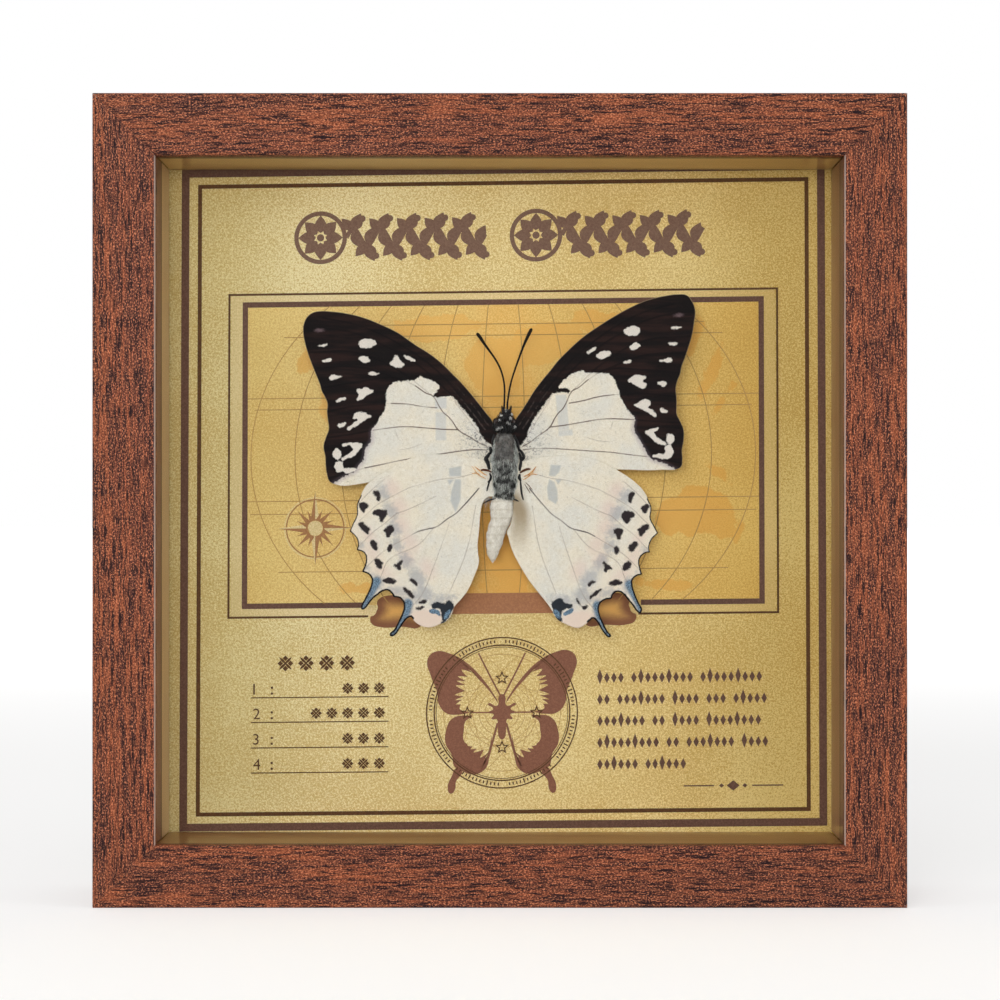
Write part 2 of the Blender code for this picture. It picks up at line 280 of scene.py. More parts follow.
def shape_distance(points, shapes, steps=3, reach=2.5):
    """Least signed distance to any of several closed shapes, or reach where all are farther off."""
    nearest = np.full(len(points), reach)
    for shape in shapes:
        outline = smooth_path(shape, steps=steps) if steps else shape
        near = ((points > outline.min(0) - reach) & (points < outline.max(0) + reach)).all(1)
        nearest[near] = np.minimum(nearest[near], signed_distance(points[near], outline))
    return nearest


def ellipse_distance(points, ellipses):
    """Least distance to any (across, up, half length, half width, degrees) ellipse, about true."""
    nearest = np.full(len(points), 99.0)
    for across, up, long, wide, degrees in ellipses:
        turn = math.radians(degrees)
        shift = points - (across, up)
        first = (shift[:, 0] * math.cos(turn) + shift[:, 1] * math.sin(turn)) / long
        second = (shift[:, 1] * math.cos(turn) - shift[:, 0] * math.sin(turn)) / wide
        nearest = np.minimum(nearest, (np.hypot(first, second) - 1.0) * min(long, wide))
    return nearest


def filled(outline, spacing=None):
    """Triangles inside an outline, with a hexagonal grid of inner points where a spacing is given."""
    inner = np.empty((0, 2))
    if spacing:
        low, high = outline.min(0), outline.max(0)
        levels = np.arange(low[1], high[1], spacing * math.sqrt(0.75))
        columns = np.arange(low[0], high[0], spacing)
        grid = np.stack(np.meshgrid(columns, levels), axis=-1)
        grid[1::2, :, 0] += spacing / 2
        inner = grid.reshape(-1, 2)
        inner = inner[inside(inner, outline)]
        inner = inner[distance_to(inner, outline, True) > spacing * 0.55]
    points = np.vstack([outline, inner])
    count = len(outline)
    edges = [(number, (number + 1) % count) for number in range(count)]
    result = delaunay_2d_cdt(points.tolist(), edges, [], 1, 1e-7)
    return np.array([tuple(point) for point in result[0]]), np.array(result[2])


# %% [markdown]
# ## Material helpers
#
# A finish here is a short recipe of nodes: a coordinate, some noise, thresholds and colour mixes. A
# small bench class keeps the recipes readable. Constant values are set on the shader's own sockets;
# only what varies over a surface is linked.


# %% The shader bench
class Bench:
    """Builds one material's node tree a step at a time, and hands back sockets."""

    def __init__(self, name, roughness=0.5, metallic=0.0, specular=0.5):
        self.material = bpy.data.materials.new(name)
        self.material.use_nodes = True
        self.tree = self.material.node_tree
        self.shader = self.tree.nodes["Principled BSDF"]
        self.shader.inputs["Roughness"].default_value = roughness
        self.shader.inputs["Metallic"].default_value = metallic
        self.shader.inputs["Specular IOR Level"].default_value = specular

    def feed(self, socket, value):
        """Links a socket, or sets a plain number or an on-screen colour of three numbers."""
        if isinstance(value, bpy.types.NodeSocket):
            self.tree.links.new(value, socket)
        else:
            socket.default_value = linear_light(value) if isinstance(value, tuple) else value

    def place(self, counts, kind="Object"):
        """Coordinates for counts cycles per millimetre: one number for all axes, or three."""
        source = self.tree.nodes.new("ShaderNodeTexCoord").outputs[kind]
        mapping = self.tree.nodes.new("ShaderNodeMapping")
        mapping.inputs["Scale"].default_value = tuple(np.broadcast_to(counts, 3) / MM)
        self.tree.links.new(source, mapping.inputs["Vector"])
        return mapping.outputs["Vector"]

    def along(self, axis):
        """One of the Object coordinates, X, Y or Z, in millimetres."""
        apart = self.tree.nodes.new("ShaderNodeSeparateXYZ")
        self.tree.links.new(self.place(1.0), apart.inputs["Vector"])
        return apart.outputs[axis]

    def noise(self, counts, detail=2.0, rough=0.5, twist=0.0, kind="Object"):
        """Cloudy noise from 0 to 1; detail adds finer octaves and rough makes them stronger."""
        node = self.tree.nodes.new("ShaderNodeTexNoise")
        self.feed(node.inputs["Vector"], self.place(counts, kind))
        settings = {"Scale": 1.0, "Detail": detail, "Roughness": rough, "Distortion": twist}
        for key, value in settings.items():
            node.inputs[key].default_value = value
        return node.outputs["Fac"]

    def cells(self, counts):
        """The distance to the middle of the nearest of many scattered cells."""
        node = self.tree.nodes.new("ShaderNodeTexVoronoi")
        self.feed(node.inputs["Vector"], self.place(counts))
        node.inputs["Scale"].default_value = 1.0
        return node.outputs["Distance"]

    def field(self, name):
        """A number stored on the mesh's points."""
        node = self.tree.nodes.new("ShaderNodeAttribute")
        node.attribute_name = name
        return node.outputs["Fac"]

    def calc(self, operation, first, second=0.0, third=0.0):
        """One step of arithmetic, named as in Blender's Math node."""
        node = self.tree.nodes.new("ShaderNodeMath")
        node.operation = operation
        for socket, value in zip(node.inputs, (first, second, third)):
            self.feed(socket, value)
        return node.outputs["Value"]

    def times(self, product, *others):
        """Two or more numbers multiplied."""
        for other in others:
            product = self.calc("MULTIPLY", product, other)
        return product

    def scaled_sum(self, value, factor, more):
        """value x factor + more."""
        return self.calc("MULTIPLY_ADD", value, factor, more)

    def step(self, value, low, high, bottom=0.0, top=1.0):
        """A soft step over a field or a socket: bottom at its low value, top at its high one."""
        if isinstance(value, str):
            value = self.field(value)
        node = self.tree.nodes.new("ShaderNodeMapRange")
        node.interpolation_type = "SMOOTHSTEP"
        for key, number in zip(("Value", "From Min", "From Max", "To Min", "To Max"),
                               (value, low, high, bottom, top)):
            self.feed(node.inputs[key], number)
        return node.outputs["Result"]

    def mix(self, factor, first, second, blend="MIX"):
        """The first colour at factor 0 and the second at 1, or their product with MULTIPLY."""
        node = self.tree.nodes.new("ShaderNodeMix")
        node.data_type = "RGBA"
        node.blend_type = blend
        for number, value in ((0, factor), (6, first), (7, second)):
            self.feed(node.inputs[number], value)
        return node.outputs[2]

    def wash(self, colour, source, low, high, tone, share=1.0):
        """Lays a tone over a colour as a field or a socket goes from low to high, by up to share."""
        return self.mix(self.step(source, low, high, 0.0, share), colour, tone)

    def finish(self, colour, height=None, depth=0.1 * MM, roughness=None):
        """Links the colour, and the bump and roughness where they vary, and returns the material."""
        self.feed(self.shader.inputs["Base Color"], colour)
        if roughness is not None:
            self.feed(self.shader.inputs["Roughness"], roughness)
        if height is not None:
            bump = self.tree.nodes.new("ShaderNodeBump")
            bump.inputs["Distance"].default_value = depth
            bump.inputs["Strength"].default_value = 1.0
            self.feed(bump.inputs["Height"], height)
            self.tree.links.new(bump.outputs["Normal"], self.shader.inputs["Normal"])
        return self.material


# %% [markdown]
# ## Studio
#
# The box stands on a plain pale floor in a white room. A broad fill close beside the lens is the
# main light. A weaker key at the upper left models the butterfly, and two tall strips at the sides
# graze the frame; the pale line along the inner edges of the two uprights is a painted highlight.
# The room gives a soft fill too, but it is dark straight behind the camera: a sheet of glass
# mirrors what is there, and a bright room would lay a grey veil over the black parts of the wings.
# The floor glows for the camera only, more so far off, which keeps the picture's ground white
# without lighting the frame from below.

# %% Floor, lights and room
FLOOR_SIDE = 9.0
FLOOR_FAR = 30.0
floor_points = np.array([(-1, -1), (1, -1), (1, 0), (-1, 0)]) * FLOOR_SIDE
floor_points[2:, 1] = FLOOR_FAR
floor_points = np.column_stack([floor_points, np.zeros(4)])
floor_mesh = make_mesh("studio_floor", floor_points, np.array([(0, 1, 2, 3)]))
bench = Bench("pale_floor", roughness=0.8, specular=0.1)
mottle = bench.noise(0.006, detail=3.0)
to_camera = bench.tree.nodes.new("ShaderNodeLightPath").outputs["Is Camera Ray"]
pale = bench.mix(mottle, (240, 239, 237), (244, 243, 242))
floor_mesh.materials.append(bench.finish(bench.mix(to_camera, (190, 188, 186), pale)))
bench.shader.inputs["Emission Color"].default_value = (1.0, 1.0, 1.0, 1.0)
far_off = bench.step(bench.calc("ABSOLUTE", bench.along("Y")), 100.0, 1500.0, 0.45, 1.0)
bench.feed(bench.shader.inputs["Emission Strength"], bench.times(to_camera, far_off))
floor = bpy.data.objects.new("studio_floor", floor_mesh)
scene.collection.objects.link(floor)
floor.visible_glossy = False

MIDDLE = (0.0, 0.0, HALF)


def soft_light(name, place, size, power, mirrored=True):
    """An area light, size wide and high, turned so that it faces the middle of the box."""
    data = bpy.data.lights.new(name, "AREA")
    data.shape = "RECTANGLE"
    data.size, data.size_y = size
    data.energy = power
    lamp = bpy.data.objects.new(name, data)
    lamp.location = place
    lamp.visible_glossy = mirrored
    aim = np.array(MIDDLE) - np.array(place)
    flat = math.hypot(aim[0], aim[1])
    lamp.rotation_euler = (math.atan2(flat, -aim[2]), 0.0, math.atan2(aim[1], aim[0]) - math.pi / 2)
    scene.collection.objects.link(lamp)
    return lamp


soft_light("key_light", (-0.42, -0.95, 0.58), (0.45, 0.45), 1.5)
soft_light("fill_light", (-0.07, -1.25, 0.11), (0.6, 0.5), 11.5, mirrored=False)
soft_light("left_strip", (-0.90, -0.34, 0.12), (0.3, 1.0), 1.6)
soft_light("right_strip", (0.90, -0.34, 0.12), (0.3, 1.0), 2.2)

DARK_CONE = (-0.97, -0.70)
ROOM_LIGHT = (0.02, 0.42)
world = bpy.data.worlds.new("studio_room")
scene.world = world
world.use_nodes = True
tree = world.node_tree
seen = tree.nodes["Background"]
seen.inputs["Color"].default_value = (1.0, 1.0, 1.0, 1.0)
lighting = tree.nodes.new("ShaderNodeBackground")
lighting.inputs["Color"].default_value = (1.0, 1.0, 1.0, 1.0)
direction = tree.nodes.new("ShaderNodeTexCoord")
apart = tree.nodes.new("ShaderNodeSeparateXYZ")
shade = tree.nodes.new("ShaderNodeMapRange")
shade.interpolation_type = "SMOOTHSTEP"
for key, number in zip(("From Min", "From Max", "To Min", "To Max"), (*DARK_CONE, *ROOM_LIGHT)):
    shade.inputs[key].default_value = number
rays = tree.nodes.new("ShaderNodeLightPath")
either = tree.nodes.new("ShaderNodeMixShader")
tree.links.new(direction.outputs["Generated"], apart.inputs["Vector"])
tree.links.new(apart.outputs["Y"], shade.inputs["Value"])
tree.links.new(shade.outputs["Result"], lighting.inputs["Strength"])
tree.links.new(rays.outputs["Is Camera Ray"], either.inputs[0])
tree.links.new(lighting.outputs[0], either.inputs[1])
tree.links.new(seen.outputs[0], either.inputs[2])
tree.links.new(either.outputs[0], tree.nodes["World Output"].inputs["Surface"])
scene.view_settings.view_transform = "Standard"

# %% [markdown]
# ## The rails
#
# A rail is a length of board moulding wrapped in walnut-grain foil, cut at 45 degrees at both ends.
# It could stay a construction solid with a wood finish, but grain has to run along each rail and
# turn over its edges, and the mitres have to close. So each rail is its section carried along a
# line, every point's reach cut to the mitre plane, with a UV map in metres: along the rail, and
# round the section. The foil ends at the rebate and the back, where the bare board shows.

# %% The rail's section and surface
ARRIS = 0.55 * MM
MITRE_GAP = 0.04 * MM
RAIL_STEPS = 31
FACE_STEPS = 10
BARE_CORNERS = 4
GRAIN_SHIFT = (0.31, 0.17)
UPRIGHTS = (1, 3)
ARC_STEPS = 6


def rail_section():
    """(inset, depth) points: eased outer edge, flat face, eased inner edge, lip, rebate, back."""
    turn = np.linspace(0.0, math.pi / 2, ARC_STEPS)
    outer = np.column_stack([ARRIS * (1 - np.cos(turn)), ARRIS * (1 - np.sin(turn))])
    across = np.linspace(ARRIS, FACE - ARRIS, FACE_STEPS + 2)[1:-1]
    face = np.column_stack([across, np.zeros(FACE_STEPS)])
    inner = np.column_stack([FACE - ARRIS * (1 - np.sin(turn)), ARRIS * (1 - np.cos(turn))])
    bare = np.array([(FACE, LIP), (WALL, LIP), (WALL, DEPTH), (0.0, DEPTH)])
    return np.vstack([outer, face, inner, bare])


def quarter_turn(points, quarter):
    """Turns points about the box's middle so that the bottom rail becomes the left, top or right."""
    x, z = points[:, 0], points[:, 2] - HALF
    for _ in range(quarter):
        x, z = z, -x
    return np.column_stack([x, points[:, 1], z + HALF])


def rail_mesh(name, quarter):
    """The section carried along the rail: place = share of the length x the reach at that inset."""
    section = rail_section()
    ring = np.vstack([section, section[:1]])
    walk = walked_along(ring)
    share = np.linspace(-1.0, 1.0, RAIL_STEPS)[:, None]
    reach = HALF - section[:, 0] - MITRE_GAP / 2
    x = share * reach
    y = np.broadcast_to(FRONT_Y + section[:, 1], x.shape)
    z = np.broadcast_to(section[:, 0], x.shape)
    points = quarter_turn(np.stack([x, y, z], axis=-1).reshape(-1, 3), quarter)
    columns = len(section)
    quads = grid_faces(RAIL_STEPS, columns, wrap=True)[:, ::-1]
    last = (RAIL_STEPS - 1) * columns
    caps = [list(range(columns)), list(range(last + columns - 1, last - 1, -1))]
    mesh = bpy.data.meshes.new(name)
    mesh.from_pydata(points.tolist(), [], quads.tolist() + caps)
    corners = np.array([index for face in mesh.polygons for index in face.vertices])
    column = corners % columns
    sides = np.array([len(face.vertices) for face in mesh.polygons])
    begins = np.cumsum(sides) - sides
    lowest = np.minimum.reduceat(column, begins)
    highest = np.maximum.reduceat(column, begins)
    closing = np.repeat((lowest == 0) & (highest == columns - 1), sides) & (column == 0)
    across = walk[column] + closing * walk[-1]
    grain = mesh.uv_layers.new(name="grain")
    along = x.reshape(-1)[corners] + quarter * GRAIN_SHIFT[0]
    grain.data.foreach_set("uv", np.column_stack([along, across + quarter * GRAIN_SHIFT[1]]).ravel())
    edge = columns - BARE_CORNERS
    bare = (lowest >= edge) & (lowest < columns - 1) | (sides > 4)
    mesh.polygons.foreach_set("material_index", bare.astype(np.int32))
    # Painted highlight: a pale line along the inner edge, on the two uprights only.
    painted_gleam = np.zeros(columns)
    if quarter in UPRIGHTS:
        painted_gleam[edge - ARC_STEPS // 2:edge] = 1.0
    layer = mesh.attributes.new("painted_gleam", "FLOAT", "POINT")
    layer.data.foreach_set("value", np.tile(painted_gleam, RAIL_STEPS).astype(np.float32))
    mesh.update()
    return mesh


# %% [markdown]
# The foil imitates walnut: a reddish ground, soft darker bands, and many short dark pores that all
# run along the rail. Noise stretched along the grain gives each of these at its own scale, and the
# pores also press slightly into the surface. On the two uprights a pale line along the inner edge
# is a painted highlight. The bare board behind is plain sawn fibre.


# %% Walnut foil and bare board
def walnut_foil():
    """Printed walnut: reddish bands, dark streaks and pores, pale flecks, a painted highlight on one edge.
    """
    bench = Bench("walnut_foil", roughness=0.5, specular=0.25)
    bands = bench.noise((0.014, 0.24, 1.0), detail=3.0, rough=0.6, twist=1.2, kind="UV")
    streaks = bench.noise((0.11, 1.25, 1.0), detail=5.0, rough=0.72, twist=0.6, kind="UV")
    pores = bench.noise((0.26, 2.4, 1.0), detail=3.0, rough=0.65, twist=0.4, kind="UV")
    flecks = bench.noise((2.1, 3.2, 1.0), detail=2.0, rough=0.85, kind="UV")
    ground = bench.mix(bench.step(bands, 0.38, 0.62), (106, 58, 46), (156, 83, 54))
    ground = bench.wash(ground, streaks, 0.45, 0.58, (58, 34, 36), 0.95)
    ground = bench.wash(ground, flecks, 0.52, 0.62, (226, 144, 102), 0.95)
    ground = bench.wash(ground, flecks, 0.48, 0.37, (44, 24, 26), 0.8)
    dark = bench.times(bench.step(pores, 0.50, 0.60), bench.step(streaks, 0.36, 0.54))
    colour = bench.mix(dark, ground, (36, 22, 26))
    # Painted highlight: the pale line along the uprights' inner edge.
    colour = bench.wash(colour, "painted_gleam", 0.3, 0.9, (214, 196, 190), 0.75)
    height = bench.scaled_sum(dark, -1.0, bench.times(flecks, 0.3))
    return bench.finish(colour, height, 0.05 * MM, bench.step(dark, 0.0, 1.0, 0.48, 0.62))


def bare_board():
    """Sawn fibre, a little cloudy."""
    bench = Bench("bare_board", roughness=0.85, specular=0.2)
    fibre = bench.noise((0.8, 3.0, 1.0), detail=5.0, rough=0.7, kind="UV")
    cloud = bench.noise(0.05, detail=2.0)
    colour = bench.mix(fibre, (138, 104, 72), (176, 142, 104))
    colour = bench.wash(colour, cloud, 0.3, 0.7, (120, 88, 60), 0.3)
    return bench.finish(colour, fibre, 0.06 * MM)


foil, board_edge = walnut_foil(), bare_board()
for quarter, side in enumerate(("bottom", "left", "top", "right")):
    rail = rail_mesh(f"walnut_rail_{side}", quarter)
    settle(f"walnut_rail_{side}", rail, foil, "foil_wood", f"rail_{side}")
    rail.materials.append(board_edge)
print("rails:", len(rail.polygons), "faces each")

# %% [markdown]
# ## Glass and spacer strips
#
# The pane is the construction's own solid with a clear glass shader. Light for the inside is let
# straight through (the pane casts no shadow), because tracing it through two glass faces would
# only add noise. The camera still sees the pane's own reflections. The strips between glass
# and card are glossy bronze plastic. Each side's strip has its own lighter or darker tones as
# painted light and shade, and a dark line across it at one depth is a painted shadow.

# %% Glass and bronze strips
bench = Bench("clear_glass", roughness=0.0)
bench.shader.inputs["Transmission Weight"].default_value = 1.0
bench.shader.inputs["IOR"].default_value = 1.5
clear = bench.finish((255, 255, 255))
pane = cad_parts["glass_pane"]
pane.visible_shadow = False
pane.visible_diffuse = False
pane.visible_glossy = False


def dress(node, material):
    """Puts a new material on a fixed node, whose shape stays as it is."""
    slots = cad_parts[node].material_slots
    for place in slots:
        place.material = material


dress("glass_pane", clear)


def bronze_strip(side, shadow_line_depth, dark, light, lip):
    """Bronze with a painted shadow line at one depth, and a redder tone from there to the glass."""
    bench = Bench(f"bronze_strip_{side}", roughness=0.3, metallic=0.2)
    sheen = bench.noise((0.02, 0.25, 0.02), detail=3.0)
    drawn = bench.noise((0.04, 2.0, 0.04), detail=3.0, rough=0.7)
    depth = bench.along("Y")
    strip = bench.mix(sheen, dark, light)
    strip = bench.wash(strip, drawn, 0.5, 0.75, (236, 196, 140), 0.35)
    reddish = bench.mix(drawn, lip, (92, 58, 50))
    strip = bench.mix(bench.step(depth, shadow_line_depth, shadow_line_depth - 0.5), strip, reddish)
    # Painted shadow: a dark line across the strip at one depth.
    off_shadow_line = bench.calc("ABSOLUTE", bench.calc("SUBTRACT", depth, shadow_line_depth))
    strip = bench.wash(strip, off_shadow_line, 0.7, 0.3, (44, 28, 24), 0.85)
    return bench.finish(strip, drawn, 0.01 * MM)


# Per side: the depth of the painted shadow line, then three tones; the sides' tones differ as painted light
# and shade.
STRIPS = {
    "bottom": (-9.7, (158, 118, 66), (180, 138, 84), (150, 110, 70)),
    "left": (-3.2, (206, 172, 132), (226, 194, 148), (170, 118, 98)),
    "top": (-7.6, (206, 172, 112), (232, 200, 134), (124, 84, 60)),
    "right": (-4.9, (158, 120, 88), (180, 142, 106), (150, 112, 98)),
}
for side, look in STRIPS.items():
    dress(f"spacer_{side}", bronze_strip(side, *look))

# %% [markdown]
# ## The gold card
#
# The card is coated with a metallic pearl varnish: it is gold, brightest where it mirrors the soft
# lights, and it sparkles finely. A part-metallic shader with a broad roughness gives the glow, and
# two fine noises, one per grain of pigment and one for slow mottling, give the sparkle.


# %% Pearl gold and printing inks
SPARKLE_GAIN = 7.0


def pearl(name, deep, bright, sparkle=0.5, warm=None):
    """Gold varnish between two tones; warm, if given, tints the land where its field is low."""
    bench = Bench(name, roughness=0.5, metallic=0.15, specular=0.3)
    grain = bench.noise(2.3, detail=2.0, rough=0.9)
    slow = bench.noise(0.03, detail=3.0)
    tone = bench.scaled_sum(bench.calc("SUBTRACT", grain, 0.5), sparkle * SPARKLE_GAIN, slow)
    colour = bench.mix(bench.step(tone, 0.1, 0.9), deep, bright)
    if warm is not None:
        colour = warm(bench, colour)
    # Painted shade: the gold grows warmer and a little darker towards the right.
    amber = bench.mix(1.0, colour, (252, 238, 206), "MULTIPLY")
    colour = bench.mix(bench.step(bench.along("X"), -80.0, 90.0), colour, amber)
    # Painted shade: darker towards both side edges of the card.
    rim = bench.step(bench.calc("ABSOLUTE", bench.along("X")), 34.0, 70.0)
    edge = bench.mix(1.0, colour, (232, 230, 214), "MULTIPLY")
    return bench.finish(bench.mix(rim, colour, edge), grain, 0.012 * MM)


def ink(name, dark, light):
    """Printed ink: an even colour through which a little of the sparkle still shows."""
    bench = Bench(name, roughness=0.55, metallic=0.15)
    grain = bench.noise(2.2, detail=2.0, rough=0.8)
    return bench.finish(bench.mix(bench.step(grain, 0.3, 0.8), dark, light), grain, 0.01 * MM)


gold = pearl("gold_card", (220, 192, 124), (255, 242, 190))
cream_gold = pearl("cream_gold", (226, 204, 146), (250, 232, 184), sparkle=0.35)
brown_ink = ink("brown_ink", (98, 68, 56), (122, 92, 76))
title_ink = ink("title_ink", (120, 90, 74), (144, 114, 94))
dark_ink = ink("dark_ink", (84, 54, 30), (112, 78, 46))
line_ink = ink("line_ink", (184, 142, 80), (206, 164, 98))
rose_ink = ink("rose_ink", (168, 118, 74), (190, 142, 94))
bronze_ink = ink("bronze_ink", (134, 88, 68), (156, 106, 82))
bar_ink = ink("bar_ink", (172, 118, 84), (196, 140, 98))
dress("printed_card", gold)

# %% [markdown]
# ## Printing on the card
#
# Every printed mark is a very thin solid just proud of the card: lines are ribbons (two edges at
# half the width to each side of a path) and shapes are filled outlines. The sheet was laid in
# slightly askew, so a mark's height grows a little with its distance to the right, and more so
# towards the top, and its width narrows very slightly upwards. All marks go through one function
# that adds this.

# %% From the sheet's own millimetres to the card
SHEET_MIDDLE = 0.70
SHEET_DROP = 1.08
SHEET_FOOT = 17.0
SHEET_CENTRE = 91.0
SHEET_WIDTH = 0.9992
KEYSTONE = 0.000054
SKEW = 0.0092
SKEW_GAIN = 0.000024
INK = 0.008
MARK_LEVELS = 12
MARK_RISE = 0.003


def on_card(flat, lift):
    """(across, height) on the sheet, in millimetres, as points that stand lift in front of the card."""
    across, height = flat.T
    rise = across * (SKEW + SKEW_GAIN * (height - SHEET_FOOT))
    side = across * SHEET_WIDTH * (1 - KEYSTONE * (height - SHEET_CENTRE))
    y = np.zeros(len(flat)) + CARD_Y / MM - lift
    return np.column_stack([side + SHEET_MIDDLE, y, height + rise - SHEET_DROP]) * MM


def ribbon(path, width, closed=False):
    """Edges offset to both sides of a path along its normals, longer at corners by 1/cos(turn/2)."""
    path = np.asarray(path, float)
    ahead = np.roll(path, -1, axis=0) - path
    back = path - np.roll(path, 1, axis=0)
    if not closed:
        ahead[-1], back[0] = back[-1], ahead[0]
    ahead /= np.hypot(*ahead.T)[:, None]
    back /= np.hypot(*back.T)[:, None]
    middle = ahead + back
    middle /= np.hypot(*middle.T)[:, None]
    offset = np.column_stack([-middle[:, 1], middle[:, 0]]) * width / 2
    offset /= np.maximum((middle * ahead).sum(1), 0.3)[:, None]
    both = np.stack([path - offset, path + offset], axis=1).reshape(-1, 2)
    rungs = np.arange(len(path) if closed else len(path) - 1)[:, None]
    quads = (rungs * 2 + [0, 2, 3, 1]) % len(both)
    return both, as_triangles(quads)


def box_path(across, low, high):
    """The corners of a rectangle that reaches as far to the left as to the right."""
    return np.array([(-across, low), (across, low), (across, high), (-across, high)])


def arc(centre, radius, start=0.0, end=360.0, steps=72):
    """Points round a circle; degrees run anticlockwise from the right."""
    turn = np.radians(np.linspace(start, end, steps, endpoint=abs(end - start) < 360.0))
    return np.asarray(centre) + radius * np.column_stack([np.cos(turn), np.sin(turn)])


def polar(centre, radius, degrees):
    """The point at one distance and angle from a centre."""
    return arc(centre, radius, degrees, degrees + 1, 2)[0]


def ring(centre, radius, width):
    """A circle drawn with a line of some width."""
    return ribbon(arc(centre, radius), width, closed=True)


def patch(points):
    """A filled smooth outline."""
    return filled(smooth_path(points, steps=6))


def dot(centre, radius, steps=14):
    """A filled circle."""
    return filled(arc(centre, radius, steps=steps))


def capsule(path, width):
    """A ribbon whose two ends are half circles, as one filled outline."""
    both, _ = ribbon(path, width)
    ends = []
    for foot, before in ((path[-1], path[-2]), (path[0], path[1])):
        heading = math.degrees(math.atan2(foot[1] - before[1], foot[0] - before[0]))
        ends.append(arc(foot, width / 2, heading - 90, heading + 90, 13)[1:-1])
    return filled(np.vstack([both[0::2], ends[0], both[1::2][::-1], ends[1]]))


def diamond(centre, half_width, half_height):
    """A filled lozenge."""
    x, y = centre
    corners = [(x - half_width, y), (x, y - half_height), (x + half_width, y), (x, y + half_height)]
    return np.array(corners), np.array([(0, 1, 2), (0, 2, 3)])


def print_marks(name, shapes, lift, material, fields=None):
    """Joins marks into one piece: thin solids whose faces look at the glass.

    Marks that cross each other may not share a plane, so each one lies a hair above the last.
    """
    flat, faces = joined(shapes)
    levels = np.arange(len(shapes)) % MARK_LEVELS * MARK_RISE
    lift = lift + np.repeat(levels, [len(points) for points, _ in shapes])
    first, second, third = (flat[faces[:, column]] for column in range(3))
    edge, other = second - first, third - first
    clockwise = edge[:, 0] * other[:, 1] - edge[:, 1] * other[:, 0] < 0
    faces = np.where(clockwise[:, None], faces[:, ::-1], faces)
    values = {key: rule(flat) for key, rule in (fields or {}).items()}
    mesh = make_mesh(name, on_card(flat, lift), faces, values)
    mesh.polygons.foreach_set("use_smooth", np.zeros(len(faces), bool))
    piece = settle(name, mesh, material, "gold_card")
    thicken(piece, "Ink", INK)


# %% [markdown]
# ### Borders and the map window
#
# A thick and a thin line run round the sheet, a thin and a thick one round the map window. Between
# the window's two lines the varnish is paler, and inside it the gold is warmer.

# %% Borders
WINDOW = 59.8
WINDOW_LOW, WINDOW_HIGH = 67.3, 137.05
BAND = 63.5
BAND_LOW, BAND_HIGH = 64.7, 139.42
TONGUE_END = 30.6
PLAQUE_SIDE = 31.8

THICK_BORDER = (73.76, 16.2, 167.6)
THIN_BORDER = (70.4, 19.2, 164.55)
PALE_SIDE = 61.6
PALE_LOW, PALE_HIGH = 66.0, 138.2

borders = [
    ribbon(box_path(*THICK_BORDER), 1.8, closed=True),
    ribbon([(-WINDOW, WINDOW_LOW), (-WINDOW, WINDOW_HIGH), (WINDOW, WINDOW_HIGH),
            (WINDOW, WINDOW_LOW), (PLAQUE_SIDE, WINDOW_LOW)], 1.25),
    ribbon([(-PLAQUE_SIDE, WINDOW_LOW), (-WINDOW - 0.6, WINDOW_LOW)], 1.25),
]
print_marks("print_thick_borders", borders, 0.06, brown_ink)
thin_borders = [
    ribbon(box_path(*THIN_BORDER), 0.92, closed=True),
    ribbon([(-31.2, BAND_LOW), (-BAND, BAND_LOW), (-BAND, BAND_HIGH), (BAND, BAND_HIGH),
            (BAND, BAND_LOW), (31.2, BAND_LOW)], 0.48),
]
print_marks("print_thin_borders", thin_borders, 0.07, dark_ink)
band_path = [(-TONGUE_END, PALE_LOW), (-PALE_SIDE, PALE_LOW), (-PALE_SIDE, PALE_HIGH),
             (PALE_SIDE, PALE_HIGH), (PALE_SIDE, PALE_LOW), (TONGUE_END, PALE_LOW)]
print_marks("print_pale_band", [capsule(band_path, 2.6)], 0.05, cream_gold)

# %% [markdown]
# ### The map
#
# Behind the butterfly is an old-style world map. The land is a soft orange tint with ragged coasts,
# and it is the printer's own rough map, not a copy of one: each land is a few ellipses whose edges a
# noise in the shader breaks up.

# %% Map ground with its land tint
LANDS = number_rows("""
    -40.6 117.5 2.2 8 6 / -44 126 4.5 2 60 / -2.2 122 6 7.5 10 / 8.5 127 11 4.4 16 / -16 131.5 11 3 4 /
    27 131.5 12 3 -4 / 48.4 121 1.6 6 -20 / 50.4 113 0.9 4 -32 / 44 128 1.6 4 -24 / 49.6 97.2 3.4 1.3
    -34 / 44.6 88.4 5.2 6 10 / 38.8 87.6 3.2 4.6 -10 / 50.2 87.2 3.2 5.4 14 / 54.2 82.4 0.9 2.6 -20 /
    -33 71 4 1.1 0 / 37.6 71.2 5.2 1.2 -4 / -11.5 71 7 1.4 2 / 2 76 4.5 8 4""")
COLUMNS, LEVELS = 181, 107
across = np.linspace(-WINDOW, WINDOW, COLUMNS)
ground = np.stack(np.meshgrid(across, np.linspace(WINDOW_LOW, WINDOW_HIGH, LEVELS)), axis=-1)
ground_shape = ground.reshape(-1, 2), as_triangles(grid_faces(LEVELS, COLUMNS))


